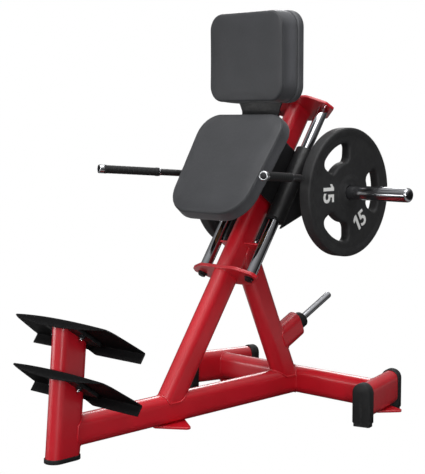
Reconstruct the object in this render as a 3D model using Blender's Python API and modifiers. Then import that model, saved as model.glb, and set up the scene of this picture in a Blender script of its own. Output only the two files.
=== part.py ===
# Standing calf raise machine: an inclined carriage with pads and weight horns on two guide rods,
# carried by an oval-tube frame with a pair of foot plates.
# Metres. X runs across the machine, Y rearward from the foot plates, Z up.

import math

import bmesh
import bpy
from mathutils import Matrix, Vector

# Clearance between two pieces that touch
GAP = 0.0003

# Oval tube of the frame: flat sides and half-round edges
TUBE_WIDTH = 0.060
TUBE_DEPTH = 0.100
TUBE_WALL = 0.003

# Base
BEAM_CLEARANCE = 0.035
CROSSBAR_Y = 1.110
FOOT_TUBE_DEPTH = 0.120
FOOT_TUBE_X = 0.376
FOOT_TUBE_FRONT = 0.156
FOOT_TUBE_REAR = 0.156
FOOT_SPLAY = math.radians(15.2)
CAP_WIDTH = 0.068
CAP_HEIGHT = 0.150
CAP_LENGTH = 0.034
CAP_POCKET = 0.022
CAP_STEP = 0.004
CAP_STEP_HEIGHT = 0.014
BEAM_ANCHOR = (0.212, 0.144, 0.458)
FOOT_ANCHOR = (0.166, 0.114, 0.048)
ANCHOR_RADIUS = 0.015
ANCHOR_SHEET = 0.008
ANCHOR_INLET = 0.001

# Front post and its rubber foot
POST_DEPTH = 0.120
POST_TILT = math.radians(5.04)
POST_FOOT_HEIGHT = 0.014
POST_FOOT_RIM = 0.003

# Foot plates: a shallow channel in cross section, square to the guide rods
FOOT_PLATE_HEIGHT = 0.4055
FOOT_PLATE_SPACING = 0.1563
FOOT_PLATE_SHEET = 0.004
FOOT_PLATE_FRONT = 0.207
FOOT_PLATE_BACK = 0.257
FOOT_PLATE_LENGTH = 0.150
FOOT_PLATE_OVERHANG = 0.054
FOOT_PLATE_BOW = 0.021
FOOT_PLATE_LIP = 0.030
FOOT_PLATE_SKIRT = 0.036
FOOT_PLATE_BEND = 0.006
SKIRT_NOTCH = 0.052
SKIRT_NOTCH_TOP = 0.006
SKIRT_NOTCH_RISE = 0.0134
FLANGE_WIDTH = 0.170
FLANGE_LENGTH = 0.150
FLANGE_SHEET = 0.010
FLANGE_RADIUS = 0.020

# Column and guide rods
RAIL_TILT = math.radians(34.5)
RAIL_FOOT_Y = 0.3838
ROD_DIAMETER = 0.040
ROD_SPACING = 0.220
ROD_BOTTOM = 0.625
ROD_TOP = 1.306
UPPER_ROD_PLATE = (0.158, -0.080, 0.070, 0.010)
LOWER_ROD_PLATE = (0.147, -0.058, 0.063, 0.012)

# Rear leg and the plate holder on it
LEG_TILT = math.radians(24.9)
LEG_FOOT_Y = 1.099
STUB_ALONG_LEG = 0.257
STUB_LENGTH = 0.135
STUB_END_WALL = 0.005
COLLAR_DIAMETER = 0.060
COLLAR_LENGTH = 0.034
PEG_DIAMETER = 0.025
PEG_LENGTH = 0.214

# Rest stops beside the column
STOP_TOP = 0.763
STOP_SHEET = 0.006
BUFFER_HEIGHT = 0.020
BUFFER_DIAMETER = 0.026
STOP_LENGTH = 0.044
STOP_N = 0.012

# Carriage: plates around the column, measured along the rods from the floor
HOUSING_DIAMETER = 0.064
HOUSING_WALL = 0.0055
HOUSING_BOTTOM = 0.845
HOUSING_TOP = 1.130
BUSH_LIP = 0.004
ROD_CLEARANCE = 0.0004
PLATE_SHEET = 0.006
SIDE_PLATE_FRONT_BOTTOM = 0.900
SIDE_PLATE_TOP = 1.120
TONGUE_FRONT = -0.008
TONGUE_BACK = 0.035
REAR_PLATE_N = 0.062
REAR_PLATE_SHEET = 0.008
GUSSET_SHEET = 0.008
GUSSET_X = 0.124
GUSSET_BOTTOM = 0.824
GUSSET_N = 0.0235
GUSSET_TOP = 1.115

# Weight horns
HORN_ALONG = 1.0416
HORN_N = 0.122
HORN_BOSS_RADIUS = 0.050
HORN_DIAMETER = 0.049
HORN_WALL = 0.0055
HORN_END = 0.526
HORN_ROUNDING = 0.012
CROSSBAR_DIAMETER = 0.045
CROSSBAR_WALL = 0.005
HORN_COLLAR_DIAMETER = 0.095
HORN_COLLAR_SHEET = 0.008
HORN_COLLAR_X = 0.219

# Weight plates
DISC_DIAMETER = 0.450
DISC_THICKNESS = 0.047
DISC_WEB = 0.031
DISC_BORE_CLEARANCE = 0.0008
DISC_RIM_WIDTH = 0.024
DISC_HUB_RADIUS = 0.052
SLOT_RADIUS = 0.140
SLOT_WIDTH = 0.066
SLOT_LENGTH = 0.138
SLOT_CORNER = 0.022
SLOT_ANGLES = (0.0, 118.0, -118.0)

# Seat pad, parallel to the rods
SEAT_BOTTOM = 0.7266
SEAT_TOP = 1.1316
SEAT_BOTTOM_WIDTH = 0.347
SEAT_TOP_WIDTH = 0.404
SEAT_FACE_N = -0.234
SEAT_THICKNESS = 0.052
SEAT_BOTTOM_RADIUS = 0.105
SEAT_TOP_RADIUS = 0.079
SEAT_CROWN = 0.007

# Back pad, upright
BACK_WIDTH = 0.340
BACK_BOTTOM = 1.103
BACK_TOP = 1.412
BACK_FACE_Y = 0.822
BACK_THICKNESS = 0.0857
BACK_RADIUS = 0.055
BACK_CROWN = 0.006

# Boards and the bent bracket behind the pads
BOARD_THICKNESS = 0.012
BOARD_INSET = 0.018
BACK_SHELL = 0.032
SHELL_INSET = 0.002
BRACKET_SHEET = 0.006
BRACKET_BOTTOM = 0.830
BRACKET_TOP = 1.370
BRACKET_WIDTH = 0.240
NECK_WIDTH = 0.168
NECK_HEIGHT = 1.055
BRACKET_BEND = 0.040

# Handles
HANDLE_DIAMETER = 0.024
HANDLE_ALONG = 0.945
HANDLE_N = -0.120
HANDLE_CORNER_X = 0.269
HANDLE_END = (0.385, 0.490, 0.870)
HANDLE_BEND = 0.050
GRIP_DIAMETER = 0.031
GRIP_LENGTH = 0.212
GRIP_CAP_LENGTH = 0.018

# Facets on a half-round edge, on a turned piece and on a rounded corner
HALF_ROUND_STEPS = 8
TURN_STEPS = 32
CORNER_STEPS = 6

MATERIALS = {
    "red_powder_coat": ((0.42, 0.010, 0.022), 0.30, 0.15),
    "black_satin_paint": ((0.012, 0.012, 0.013), 0.42, 0.10),
    "chrome": ((0.74, 0.74, 0.76), 0.08, 1.00),
    "rubber": ((0.014, 0.014, 0.015), 0.70, 0.00),
    "upholstery": ((0.065, 0.067, 0.071), 0.60, 0.00),
    "plywood": ((0.42, 0.28, 0.15), 0.75, 0.00),
    "disc_rubber": ((0.030, 0.030, 0.031), 0.58, 0.00),
    "bronze": ((0.50, 0.34, 0.14), 0.35, 1.00),
}


# Scene, collections and materials

for old in list(bpy.data.objects):
    bpy.data.objects.remove(old, do_unlink=True)

parts = bpy.data.collections.new("calf_raise_machine")
cutters = bpy.data.collections.new("cutters")
bpy.context.scene.collection.children.link(parts)
bpy.context.scene.collection.children.link(cutters)
cutters.hide_render = True


def make_material(name):
    colour, roughness, metallic = MATERIALS[name]
    material = bpy.data.materials.new(name)
    material.use_nodes = True
    shader = material.node_tree.nodes["Principled BSDF"]
    shader.inputs["Base Color"].default_value = (*colour, 1.0)
    shader.inputs["Roughness"].default_value = roughness
    shader.inputs["Metallic"].default_value = metallic
    return material


materials = {name: make_material(name) for name in MATERIALS}


def add_axes(name, parent, location, tilt=0.0, turn=0.0):
    """An empty whose local Z is tilted rearward by tilt, then turned about Z."""
    axes = bpy.data.objects.new(name, None)
    axes.empty_display_size = 0.1
    axes.parent = parent
    axes.location = location
    axes.rotation_euler = (-tilt, 0.0, turn)
    parts.objects.link(axes)
    return axes


# Outlines

def oval(width, depth, grow=0.0):
    """Closed outline with straight sides along Y and half-round ends."""
    radius = width / 2 + grow
    straight = (depth - width) / 2
    points = []
    for end, start in ((1, 0.0), (-1, math.pi)):
        for k in range(HALF_ROUND_STEPS + 1):
            angle = start + math.pi * k / HALF_ROUND_STEPS
            points.append((radius * math.cos(angle), end * straight + radius * math.sin(angle)))
    return points


def circle(radius, centre=(0.0, 0.0), steps=TURN_STEPS):
    turns = [2 * math.pi * k / steps for k in range(steps)]
    return [(centre[0] + radius * math.cos(a), centre[1] + radius * math.sin(a)) for a in turns]


def rounded(corners, steps=CORNER_STEPS):
    """Closed outline through corners given as (x, y, radius)."""
    points = []
    for i, (x, y, radius) in enumerate(corners):
        here = Vector((x, y))
        before = (Vector(corners[i - 1][:2]) - here).normalized()
        after = (Vector(corners[(i + 1) % len(corners)][:2]) - here).normalized()
        half = before.angle(after) / 2
        centre = here + (before + after).normalized() * radius / math.sin(half)
        start = here + before * radius / math.tan(half) - centre
        end = here + after * radius / math.tan(half) - centre
        first = math.atan2(start.y, start.x)
        sweep = (math.atan2(end.y, end.x) - first + math.pi) % (2 * math.pi) - math.pi
        for k in range(steps + 1):
            angle = first + sweep * k / steps
            points.append((centre.x + radius * math.cos(angle), centre.y + radius * math.sin(angle)))
    return points


def rectangle(width, length, radius, centre=(0.0, 0.0)):
    x, y = centre
    half_width, half_length = width / 2, length / 2
    return rounded([
        (x - half_width, y - half_length, radius),
        (x + half_width, y - half_length, radius),
        (x + half_width, y + half_length, radius),
        (x - half_width, y + half_length, radius),
    ])


def dense(outline, longest=0.045):
    """Adds points along the straight stretches, so that they can bend."""
    points = []
    for i, (x, y) in enumerate(outline):
        after = Vector(outline[(i + 1) % len(outline)])
        here = Vector((x, y))
        pieces = max(1, math.ceil((after - here).length / longest))
        points += [tuple(here.lerp(after, k / pieces)) for k in range(pieces)]
    return points


def inset(outline, amount):
    """Moves each point of a counter-clockwise outline inward by amount."""
    points = []
    for i, (x, y) in enumerate(outline):
        before = Vector(outline[i - 1])
        after = Vector(outline[(i + 1) % len(outline)])
        run = (after - before).normalized()
        points.append((x - run.y * amount, y + run.x * amount))
    return points


# Solids

def add_object(name, mesh, material, parent, matrix, group=parts):
    solid = bpy.data.objects.new(name, mesh)
    group.objects.link(solid)
    solid.parent = parent
    solid.matrix_local = matrix
    if material:
        mesh.materials.clear()
        mesh.materials.append(materials[material])
    if group is cutters:
        solid.hide_render = True
        solid.display_type = "WIRE"
    return solid


def smooth(mesh, angle=35.0):
    mesh.shade_smooth()
    mesh.set_sharp_from_angle(angle=math.radians(angle))


def slab(name, outlines, thickness, material, parent, matrix=Matrix(), group=parts):
    """A flat outline, with any further outlines as holes, made solid on both sides of local Z 0."""
    curve = bpy.data.curves.new(name, "CURVE")
    curve.dimensions = "2D"
    curve.fill_mode = "BOTH"
    curve.extrude = thickness / 2
    for outline in outlines:
        spline = curve.splines.new("POLY")
        spline.points.add(len(outline) - 1)
        for point, (x, y) in zip(spline.points, outline):
            point.co = (x, y, 0.0, 1.0)
        spline.use_cyclic_u = True
    guide = bpy.data.objects.new(name + "_outline", curve)
    bpy.context.scene.collection.objects.link(guide)
    graph = bpy.context.evaluated_depsgraph_get()
    mesh = bpy.data.meshes.new_from_object(guide.evaluated_get(graph))
    bpy.data.objects.remove(guide, do_unlink=True)
    bpy.data.curves.remove(curve)
    build = bmesh.new()
    build.from_mesh(mesh)
    bmesh.ops.remove_doubles(build, verts=build.verts, dist=1e-6)
    bmesh.ops.recalc_face_normals(build, faces=build.faces)
    build.to_mesh(mesh)
    build.free()
    mesh.name = name
    smooth(mesh)
    return add_object(name, mesh, material, parent, matrix, group)


def along(start, end):
    """Local frame for a slab that runs from start to end on Z."""
    return Matrix.Translation((0.0, 0.0, (start + end) / 2))


def oval_tube(name, depth, start, end, material, parent, matrix=Matrix()):
    outer = oval(TUBE_WIDTH, depth)
    inner = oval(TUBE_WIDTH - 2 * TUBE_WALL, depth - 2 * TUBE_WALL)
    return slab(name, [outer, inner], end - start, material, parent, matrix @ along(start, end))


def oval_cutter(name, depth, start, end, parent, matrix=Matrix()):
    outline = oval(TUBE_WIDTH, depth, GAP)
    return slab(name, [outline], end - start, None, parent, matrix @ along(start, end), cutters)


def cut(solid, *tools):
    for tool in tools:
        modifier = solid.modifiers.new("cut by " + tool.name, "BOOLEAN")
        modifier.operation = "DIFFERENCE"
        modifier.solver = "EXACT"
        modifier.object = tool


def turned(name, profile, material, parent, matrix=Matrix(), closed=True, steps=TURN_STEPS):
    """Turns a profile of (radius, height) about local Z. Its outer side runs top to bottom."""
    mesh = bpy.data.meshes.new(name)
    count = len(profile)
    edges = [(i, i + 1) for i in range(count - 1)]
    if closed:
        edges.append((count - 1, 0))
    mesh.from_pydata([(radius, 0.0, height) for radius, height in profile], edges, [])
    solid = add_object(name, mesh, material, parent, matrix)
    screw = solid.modifiers.new("turn", "SCREW")
    screw.steps = steps
    screw.render_steps = steps
    screw.use_merge_vertices = True
    screw.merge_threshold = 1e-5
    screw.use_smooth_shade = True
    return solid


def ring_profile(inner, outer, bottom, top, edge=0.0):
    """Profile of a turned ring with its outer edges rounded off by edge."""
    return [
        (inner, top), (outer - edge, top), (outer, top - edge),
        (outer, bottom + edge), (outer - edge, bottom), (inner, bottom),
    ]


def round_bar(name, radius, start, end, material, parent, matrix=Matrix(), group=parts):
    build = bmesh.new()
    bmesh.ops.create_cone(
        build, cap_ends=True, segments=TURN_STEPS, radius1=radius, radius2=radius, depth=end - start
    )
    mesh = bpy.data.meshes.new(name)
    build.to_mesh(mesh)
    build.free()
    smooth(mesh)
    return add_object(name, mesh, material, parent, matrix @ along(start, end), group)


def box_cutter(name, low, high, parent, matrix=Matrix()):
    build = bmesh.new()
    bmesh.ops.create_cube(build, size=1.0)
    low, high = Vector(low), Vector(high)
    bmesh.ops.scale(build, vec=high - low, verts=build.verts)
    mesh = bpy.data.meshes.new(name)
    build.to_mesh(mesh)
    build.free()
    return add_object(name, mesh, None, parent, matrix @ Matrix.Translation((low + high) / 2), cutters)


def frame_of(across, up, origin=(0.0, 0.0, 0.0)):
    """A local frame whose X and Y lie on two directions of the parent."""
    first = Vector(across).normalized()
    second = Vector(up).normalized()
    third = first.cross(second)
    matrix = Matrix((first, second, third)).transposed().to_4x4()
    matrix.translation = origin
    return matrix


machine = add_axes("machine", None, (0.0, 0.0, 0.0))
rail = add_axes("rail_axes", machine, (0.0, RAIL_FOOT_Y, 0.0), RAIL_TILT)
leg = add_axes("leg_axes", machine, (0.0, LEG_FOOT_Y, 0.0), -LEG_TILT)
post = add_axes("post_axes", machine, (0.0, 0.0, 0.0), POST_TILT)
carriage = add_axes("carriage_axes", machine, (0.0, RAIL_FOOT_Y, 0.0), RAIL_TILT)
upright = add_axes("carriage_upright_axes", carriage, (0.0, 0.0, 0.0), -RAIL_TILT)
sides = {"left": -1, "right": 1}

# Local frames: the machine's own axes seen from the carriage's upright ones, a plate on the
# rail's flank, a tube along X or Y
upright_place = Matrix.Translation((0.0, -RAIL_FOOT_Y, 0.0))
flank = frame_of((0, 1, 0), (0, 0, 1))
base_height = BEAM_CLEARANCE + TUBE_DEPTH / 2
along_y = frame_of((-1, 0, 0), (0, 0, 1))
along_x = frame_of((0, 1, 0), (0, 0, 1))


# Base: beam, rear crossbar, splayed feet and rubber caps

def foot_axes(side_name, side):
    axes = add_axes(
        side_name + "_foot_axes", machine, (side * FOOT_TUBE_X, CROSSBAR_Y, base_height),
        turn=side * FOOT_SPLAY,
    )
    return axes


def cap_outline():
    """Arch on a narrower foot, from the floor up, about the tube's centre line."""
    floor = -base_height
    half = CAP_WIDTH / 2
    shoulder = CAP_HEIGHT - base_height - half
    points = [
        (CAP_STEP - half, floor), (half - CAP_STEP, floor),
        (half - CAP_STEP, floor + CAP_STEP_HEIGHT - CAP_STEP), (half, floor + CAP_STEP_HEIGHT),
    ]
    for k in range(HALF_ROUND_STEPS + 1):
        angle = math.pi * k / HALF_ROUND_STEPS
        points.append((half * math.cos(angle), shoulder + half * math.sin(angle)))
    points.append((-half, floor + CAP_STEP_HEIGHT))
    points.append((CAP_STEP - half, floor + CAP_STEP_HEIGHT - CAP_STEP))
    return points


def anchor_plate(name, parent, underside, tube_tool, size):
    """Rounded diamond under a tube, let into its underside: width, length and place along it."""
    across, length, along_tube = size[0] / 2, size[1] / 2, size[2]
    outline = rounded([
        (0.0, along_tube - length, ANCHOR_RADIUS), (across, along_tube, ANCHOR_RADIUS),
        (0.0, along_tube + length, ANCHOR_RADIUS), (-across, along_tube, ANCHOR_RADIUS),
    ])
    top = underside + ANCHOR_INLET
    plate = slab(name, [outline], ANCHOR_SHEET, "red_powder_coat", parent, along(top - ANCHOR_SHEET, top))
    cut(plate, tube_tool)
    return plate


def build_base():
    beam = oval_tube(
        "base_beam", TUBE_DEPTH, 0.0, CROSSBAR_Y, "red_powder_coat", machine,
        Matrix.Translation((0.0, 0.0, base_height)) @ along_y,
    )
    crossbar = oval_tube(
        "rear_crossbar", TUBE_DEPTH, -FOOT_TUBE_X, FOOT_TUBE_X, "red_powder_coat", machine,
        Matrix.Translation((0.0, CROSSBAR_Y, base_height)) @ along_x,
    )
    crossbar_tool = oval_cutter(
        "cut_crossbar", TUBE_DEPTH, -FOOT_TUBE_X, FOOT_TUBE_X, machine,
        Matrix.Translation((0.0, CROSSBAR_Y, base_height)) @ along_x,
    )
    post_tool = oval_cutter("cut_post", POST_DEPTH, -0.05, FOOT_PLATE_HEIGHT + 0.1, post)
    cut(beam, crossbar_tool, post_tool)
    for side_name, side in sides.items():
        axes = foot_axes(side_name, side)
        front = -FOOT_TUBE_FRONT + CAP_LENGTH - CAP_POCKET
        rear = FOOT_TUBE_REAR - CAP_LENGTH + CAP_POCKET
        oval_tube(
            side_name + "_foot_tube", FOOT_TUBE_DEPTH, front, rear, "red_powder_coat", axes, along_y
        )
        tube_tool = oval_cutter(
            "cut_" + side_name + "_foot_tube", FOOT_TUBE_DEPTH, front - GAP, rear + GAP, axes, along_y
        )
        cut(crossbar, tube_tool)
        for end_name, start, end in (
            ("front", -FOOT_TUBE_FRONT, -FOOT_TUBE_FRONT + CAP_LENGTH),
            ("rear", FOOT_TUBE_REAR - CAP_LENGTH, FOOT_TUBE_REAR),
        ):
            cap = slab(
                f"{side_name}_{end_name}_cap", [cap_outline()], CAP_LENGTH, "rubber", axes,
                along_y @ along(start, end),
            )
            cut(cap, tube_tool)
        anchor_plate(
            side_name + "_anchor_plate", axes, -FOOT_TUBE_DEPTH / 2, tube_tool, FOOT_ANCHOR
        )
    beam_tool = oval_cutter(
        "cut_beam", TUBE_DEPTH, 0.0, CROSSBAR_Y, machine,
        Matrix.Translation((0.0, 0.0, base_height)) @ along_y,
    )
    anchor_plate("beam_anchor_plate", machine, BEAM_CLEARANCE, beam_tool, BEAM_ANCHOR)
    return beam_tool, crossbar_tool


# Front post with its foot, and the foot plates

def foot_plate_mesh(name):
    """Open sheet: lip, tread and skirt, as rows of points from the front edge to the rear."""
    columns = 20
    widths = ((0.0, 0.0), (0.14, 0.42), (0.54, 0.74), (0.93, 1.0), (1.0, 0.96))
    rows = []
    rows.append((0.0, -FOOT_PLATE_LIP, "lip"))
    rows.append((0.0, -FOOT_PLATE_BEND, "lip"))
    rows.append((0.3 * FOOT_PLATE_BEND, -0.3 * FOOT_PLATE_BEND, "tread"))
    rows.append((FOOT_PLATE_BEND, 0.0, "tread"))
    for share in (0.14, 0.34, 0.54, 0.74):
        rows.append((share * FOOT_PLATE_LENGTH, 0.0, "tread"))
    rows.append((FOOT_PLATE_LENGTH - FOOT_PLATE_BEND, 0.0, "tread"))
    rows.append((FOOT_PLATE_LENGTH - 0.3 * FOOT_PLATE_BEND, -0.3 * FOOT_PLATE_BEND, "tread"))
    rows.append((FOOT_PLATE_LENGTH, -FOOT_PLATE_BEND, "skirt"))
    rows.append((FOOT_PLATE_LENGTH, -FOOT_PLATE_SKIRT, "skirt"))

    def half_width(back):
        share = back / FOOT_PLATE_LENGTH
        for (s0, w0), (s1, w1) in zip(widths, widths[1:]):
            if share <= s1:
                rise = w0 + (w1 - w0) * (share - s0) / (s1 - s0)
                return FOOT_PLATE_FRONT + (FOOT_PLATE_BACK - FOOT_PLATE_FRONT) * rise
        return FOOT_PLATE_BACK

    points = []
    for back, drop, kind in rows:
        for k in range(columns + 1):
            side = 2 * k / columns - 1
            bow = FOOT_PLATE_BOW * (1 - side * side) * (1 - back / FOOT_PLATE_LENGTH)
            low = drop
            if kind == "lip" and drop < -FOOT_PLATE_BEND:
                low = -FOOT_PLATE_BEND - (FOOT_PLATE_LIP - FOOT_PLATE_BEND) * (1 - side * side)
                low = min(low, -FOOT_PLATE_BEND - 0.001)
            x = side * half_width(back)
            points.append((x, back - bow - FOOT_PLATE_OVERHANG, low))
    faces = []
    for row in range(len(rows) - 1):
        for k in range(columns):
            first = row * (columns + 1) + k
            faces.append((first, first + 1, first + columns + 2, first + columns + 1))
    mesh = bpy.data.meshes.new(name)
    mesh.from_pydata(points, [], faces)
    smooth(mesh)
    return mesh


def notch_cutter(name, axes):
    """Relief in the skirt's lower edge, behind the post."""
    low, high = -2 * FOOT_PLATE_SKIRT, SKIRT_NOTCH_RISE - FOOT_PLATE_SKIRT
    outline = [
        (-SKIRT_NOTCH, low), (SKIRT_NOTCH, low), (SKIRT_NOTCH, -FOOT_PLATE_SKIRT),
        (SKIRT_NOTCH_TOP, high), (-SKIRT_NOTCH_TOP, high), (-SKIRT_NOTCH, -FOOT_PLATE_SKIRT),
    ]
    back = FOOT_PLATE_LENGTH - FOOT_PLATE_OVERHANG
    place = frame_of((1, 0, 0), (0, 0, 1), (0.0, back, 0.0))
    return slab(name, [outline], FOOT_PLATE_LENGTH, None, axes, place, cutters)


def build_foot_plates(post_tool):
    slab(
        "front_post_foot", [oval(TUBE_WIDTH, POST_DEPTH, POST_FOOT_RIM)], POST_FOOT_HEIGHT, "rubber",
        machine, along(0.0, POST_FOOT_HEIGHT),
    )
    body = oval_tube(
        "front_post", POST_DEPTH, -0.02, FOOT_PLATE_HEIGHT + 0.06, "red_powder_coat", post
    )
    below = box_cutter(
        "cut_below_post", (-0.1, -0.2, -0.2), (0.1, 0.2, POST_FOOT_HEIGHT + GAP), machine
    )
    cut(body, below)
    for level, name in enumerate(("upper", "lower")):
        along_post = FOOT_PLATE_HEIGHT / math.cos(POST_TILT) - level * FOOT_PLATE_SPACING
        axes = add_axes(
            name + "_foot_axes", machine,
            (0.0, along_post * math.sin(POST_TILT), along_post * math.cos(POST_TILT)), RAIL_TILT,
        )
        sheet = foot_plate_mesh(name + "_foot_plate")
        plate = add_object(name + "_foot_plate", sheet, "black_satin_paint", axes, Matrix())
        solidify = plate.modifiers.new("sheet", "SOLIDIFY")
        solidify.thickness = FOOT_PLATE_SHEET
        solidify.offset = -1.0
        solidify.use_even_offset = True
        cut(plate, notch_cutter("cut_" + name + "_notch", axes))
        centre = (FOOT_PLATE_LENGTH / 2 - FOOT_PLATE_OVERHANG - 0.004, -FOOT_PLATE_SHEET - GAP)
        flange = slab(
            name + "_foot_flange",
            [rectangle(FLANGE_WIDTH, FLANGE_LENGTH - 0.02, FLANGE_RADIUS, (0.0, centre[0]))],
            FLANGE_SHEET, "black_satin_paint", axes, along(centre[1] - FLANGE_SHEET, centre[1]),
        )
        if name == "upper":
            above = box_cutter(
                "cut_above_post", (-0.1, -0.3, centre[1] - FLANGE_SHEET - GAP), (0.1, 0.3, 0.3), axes
            )
            cut(body, above)
        else:
            cut(plate, post_tool)
            cut(flange, post_tool)


# Column, rods, rod plates and stops

def rod_plate(name, size, top_face):
    """Bow-shaped plate given by its reach, front, back and thickness."""
    reach, front, back, sheet = size
    half = [
        (0.54 * reach, front, 0.040), (0.93 * reach, 0.48 * front, 0.022), (reach, 0.0, 0.012),
        (0.60 * reach, 0.78 * back, 0.040), (0.19 * reach, back, 0.020),
    ]
    outline = rounded([(-x, y, r) for x, y, r in reversed(half)] + half, steps=3)
    return slab(name, [outline], sheet, "red_powder_coat", rail, along(top_face - sheet, top_face))


def build_column(beam_tool, crossbar_tool):
    column = oval_tube("main_column", TUBE_DEPTH, 0.1, ROD_TOP - GAP, "red_powder_coat", rail)
    cut(column, beam_tool)
    column_tool = oval_cutter("cut_column", TUBE_DEPTH, 0.0, ROD_TOP - GAP, rail)
    meeting = (LEG_FOOT_Y - RAIL_FOOT_Y) * math.cos(RAIL_TILT) / math.sin(LEG_TILT + RAIL_TILT)
    body = oval_tube("rear_leg", TUBE_DEPTH, base_height, meeting, "red_powder_coat", leg)
    cut(body, beam_tool, crossbar_tool, column_tool)
    leg_tool = oval_cutter("cut_leg", TUBE_DEPTH, 0.0, meeting, leg)
    lower = rod_plate("lower_rod_plate", LOWER_ROD_PLATE, ROD_BOTTOM)
    cut(lower, column_tool)
    rod_plate("upper_rod_plate", UPPER_ROD_PLATE, ROD_TOP + UPPER_ROD_PLATE[3])
    for side_name, side in sides.items():
        x = side * ROD_SPACING / 2
        round_bar(
            side_name + "_guide_rod", ROD_DIAMETER / 2, ROD_BOTTOM + GAP, ROD_TOP - GAP, "chrome",
            rail, Matrix.Translation((x, 0.0, 0.0)),
        )
        build_stop(side_name, side, column_tool, leg_tool)
    build_holder(leg_tool)
    return column_tool


def build_stop(side_name, side, column_tool, leg_tool):
    """A tab welded to the column's flank with a rubber buffer under the carriage's tongue."""
    tongue_x = ROD_SPACING / 2 - HOUSING_DIAMETER / 2 - PLATE_SHEET / 2
    tab_end = tongue_x + BUFFER_DIAMETER / 2
    seat = STOP_TOP - BUFFER_HEIGHT
    centre = (side * tab_end / 2, STOP_N)
    tab = slab(
        side_name + "_stop_bracket", [rectangle(tab_end, STOP_LENGTH, 0.006, centre)], STOP_SHEET,
        "red_powder_coat", rail, along(seat - STOP_SHEET, seat),
    )
    cut(tab, column_tool, leg_tool)
    turned(
        side_name + "_stop_buffer",
        [(0.0, STOP_TOP), (BUFFER_DIAMETER / 2 - 0.003, STOP_TOP),
         (BUFFER_DIAMETER / 2, STOP_TOP - 0.003), (BUFFER_DIAMETER / 2, seat + GAP), (0.0, seat + GAP)],
        "rubber", rail, Matrix.Translation((side * tongue_x, STOP_N, 0.0)), closed=False, steps=24,
    )


def build_holder(leg_tool):
    """Short tube square to the rear leg, with a collar and a peg for spare plates."""
    out = Matrix.Translation((0.0, 0.0, STUB_ALONG_LEG)) @ frame_of((1, 0, 0), (0, 0, -1))
    outer = oval(TUBE_WIDTH, TUBE_DEPTH)
    stub = slab(
        "storage_stub", [outer], STUB_LENGTH, "red_powder_coat", leg, out @ along(0.0, STUB_LENGTH)
    )
    hollow_end = STUB_LENGTH - STUB_END_WALL
    hollow = slab(
        "cut_stub_hollow", [oval(TUBE_WIDTH, TUBE_DEPTH, -TUBE_WALL)], 2 * hollow_end, None, leg,
        out, cutters,
    )
    cut(stub, leg_tool, hollow)
    start = STUB_LENGTH + GAP
    peg_radius = PEG_DIAMETER / 2
    turned(
        "storage_collar",
        ring_profile(peg_radius + GAP, COLLAR_DIAMETER / 2, start, start + COLLAR_LENGTH, 0.004),
        "rubber", leg, out,
    )
    end = STUB_LENGTH + PEG_LENGTH
    turned(
        "storage_peg",
        [(0.0, end), (peg_radius - 0.004, end), (peg_radius - 0.001, end - 0.0015),
         (peg_radius, end - 0.004), (peg_radius, start), (0.0, start)],
        "chrome", leg, out, closed=False, steps=24,
    )


# Carriage

rod_x = ROD_SPACING / 2
side_plate_outer = rod_x - HOUSING_DIAMETER / 2 - GAP
side_plate_x = side_plate_outer - PLATE_SHEET / 2
seat_back_n = SEAT_FACE_N + SEAT_THICKNESS
seat_board_n = seat_back_n + GAP + BOARD_THICKNESS
bracket_n = seat_board_n + GAP
bracket_back_n = bracket_n + BRACKET_SHEET
bracket_y = BACK_FACE_Y + BACK_THICKNESS + GAP


def build_bearings(side_name, side):
    place = Matrix.Translation((side * rod_x, 0.0, 0.0))
    outer = HOUSING_DIAMETER / 2
    inner = outer - HOUSING_WALL
    turned(
        side_name + "_bearing_housing",
        ring_profile(inner, outer, HOUSING_BOTTOM, HOUSING_TOP, 0.0015), "black_satin_paint",
        carriage, place,
    )
    bore = ROD_DIAMETER / 2 + ROD_CLEARANCE
    bush = inner - GAP
    flange = inner + HOUSING_WALL * 0.6
    turned(
        side_name + "_linear_bush",
        [(bore, HOUSING_TOP - BUSH_LIP), (bush, HOUSING_TOP - BUSH_LIP), (bush, HOUSING_BOTTOM - GAP),
         (flange, HOUSING_BOTTOM - GAP), (flange, HOUSING_BOTTOM - BUSH_LIP),
         (bore, HOUSING_BOTTOM - BUSH_LIP)],
        "bronze", carriage, place,
    )


def build_side_plates(side_name, side):
    """Plate beside the column: a broad body at the pads and a tongue down to the stop."""
    back = REAR_PLATE_N - GAP
    front = bracket_back_n + GAP
    outline = rounded([
        (TONGUE_FRONT, STOP_TOP + GAP, 0.004), (TONGUE_BACK, STOP_TOP + GAP, 0.004),
        (TONGUE_BACK, SIDE_PLATE_FRONT_BOTTOM, 0.008), (back, SIDE_PLATE_FRONT_BOTTOM, 0.004),
        (back, SIDE_PLATE_TOP, 0.004), (front, SIDE_PLATE_TOP, 0.010),
        (front, SIDE_PLATE_FRONT_BOTTOM, 0.010), (TONGUE_FRONT, SIDE_PLATE_FRONT_BOTTOM, 0.006),
    ], steps=3)
    return slab(
        side_name + "_side_plate", [outline], PLATE_SHEET, "black_satin_paint", carriage,
        Matrix.Translation((side * side_plate_x, 0.0, 0.0)) @ flank,
    )


def tangent_point(corner, centre, radius, turn):
    """Where a line from a corner touches a circle, on the side given by turn."""
    offset = Vector(centre) - Vector(corner)
    spread = math.asin(radius / offset.length)
    reach = offset.length * math.cos(spread)
    angle = math.atan2(offset.y, offset.x) + turn * spread
    return (corner[0] + reach * math.cos(angle), corner[1] + reach * math.sin(angle))


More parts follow.
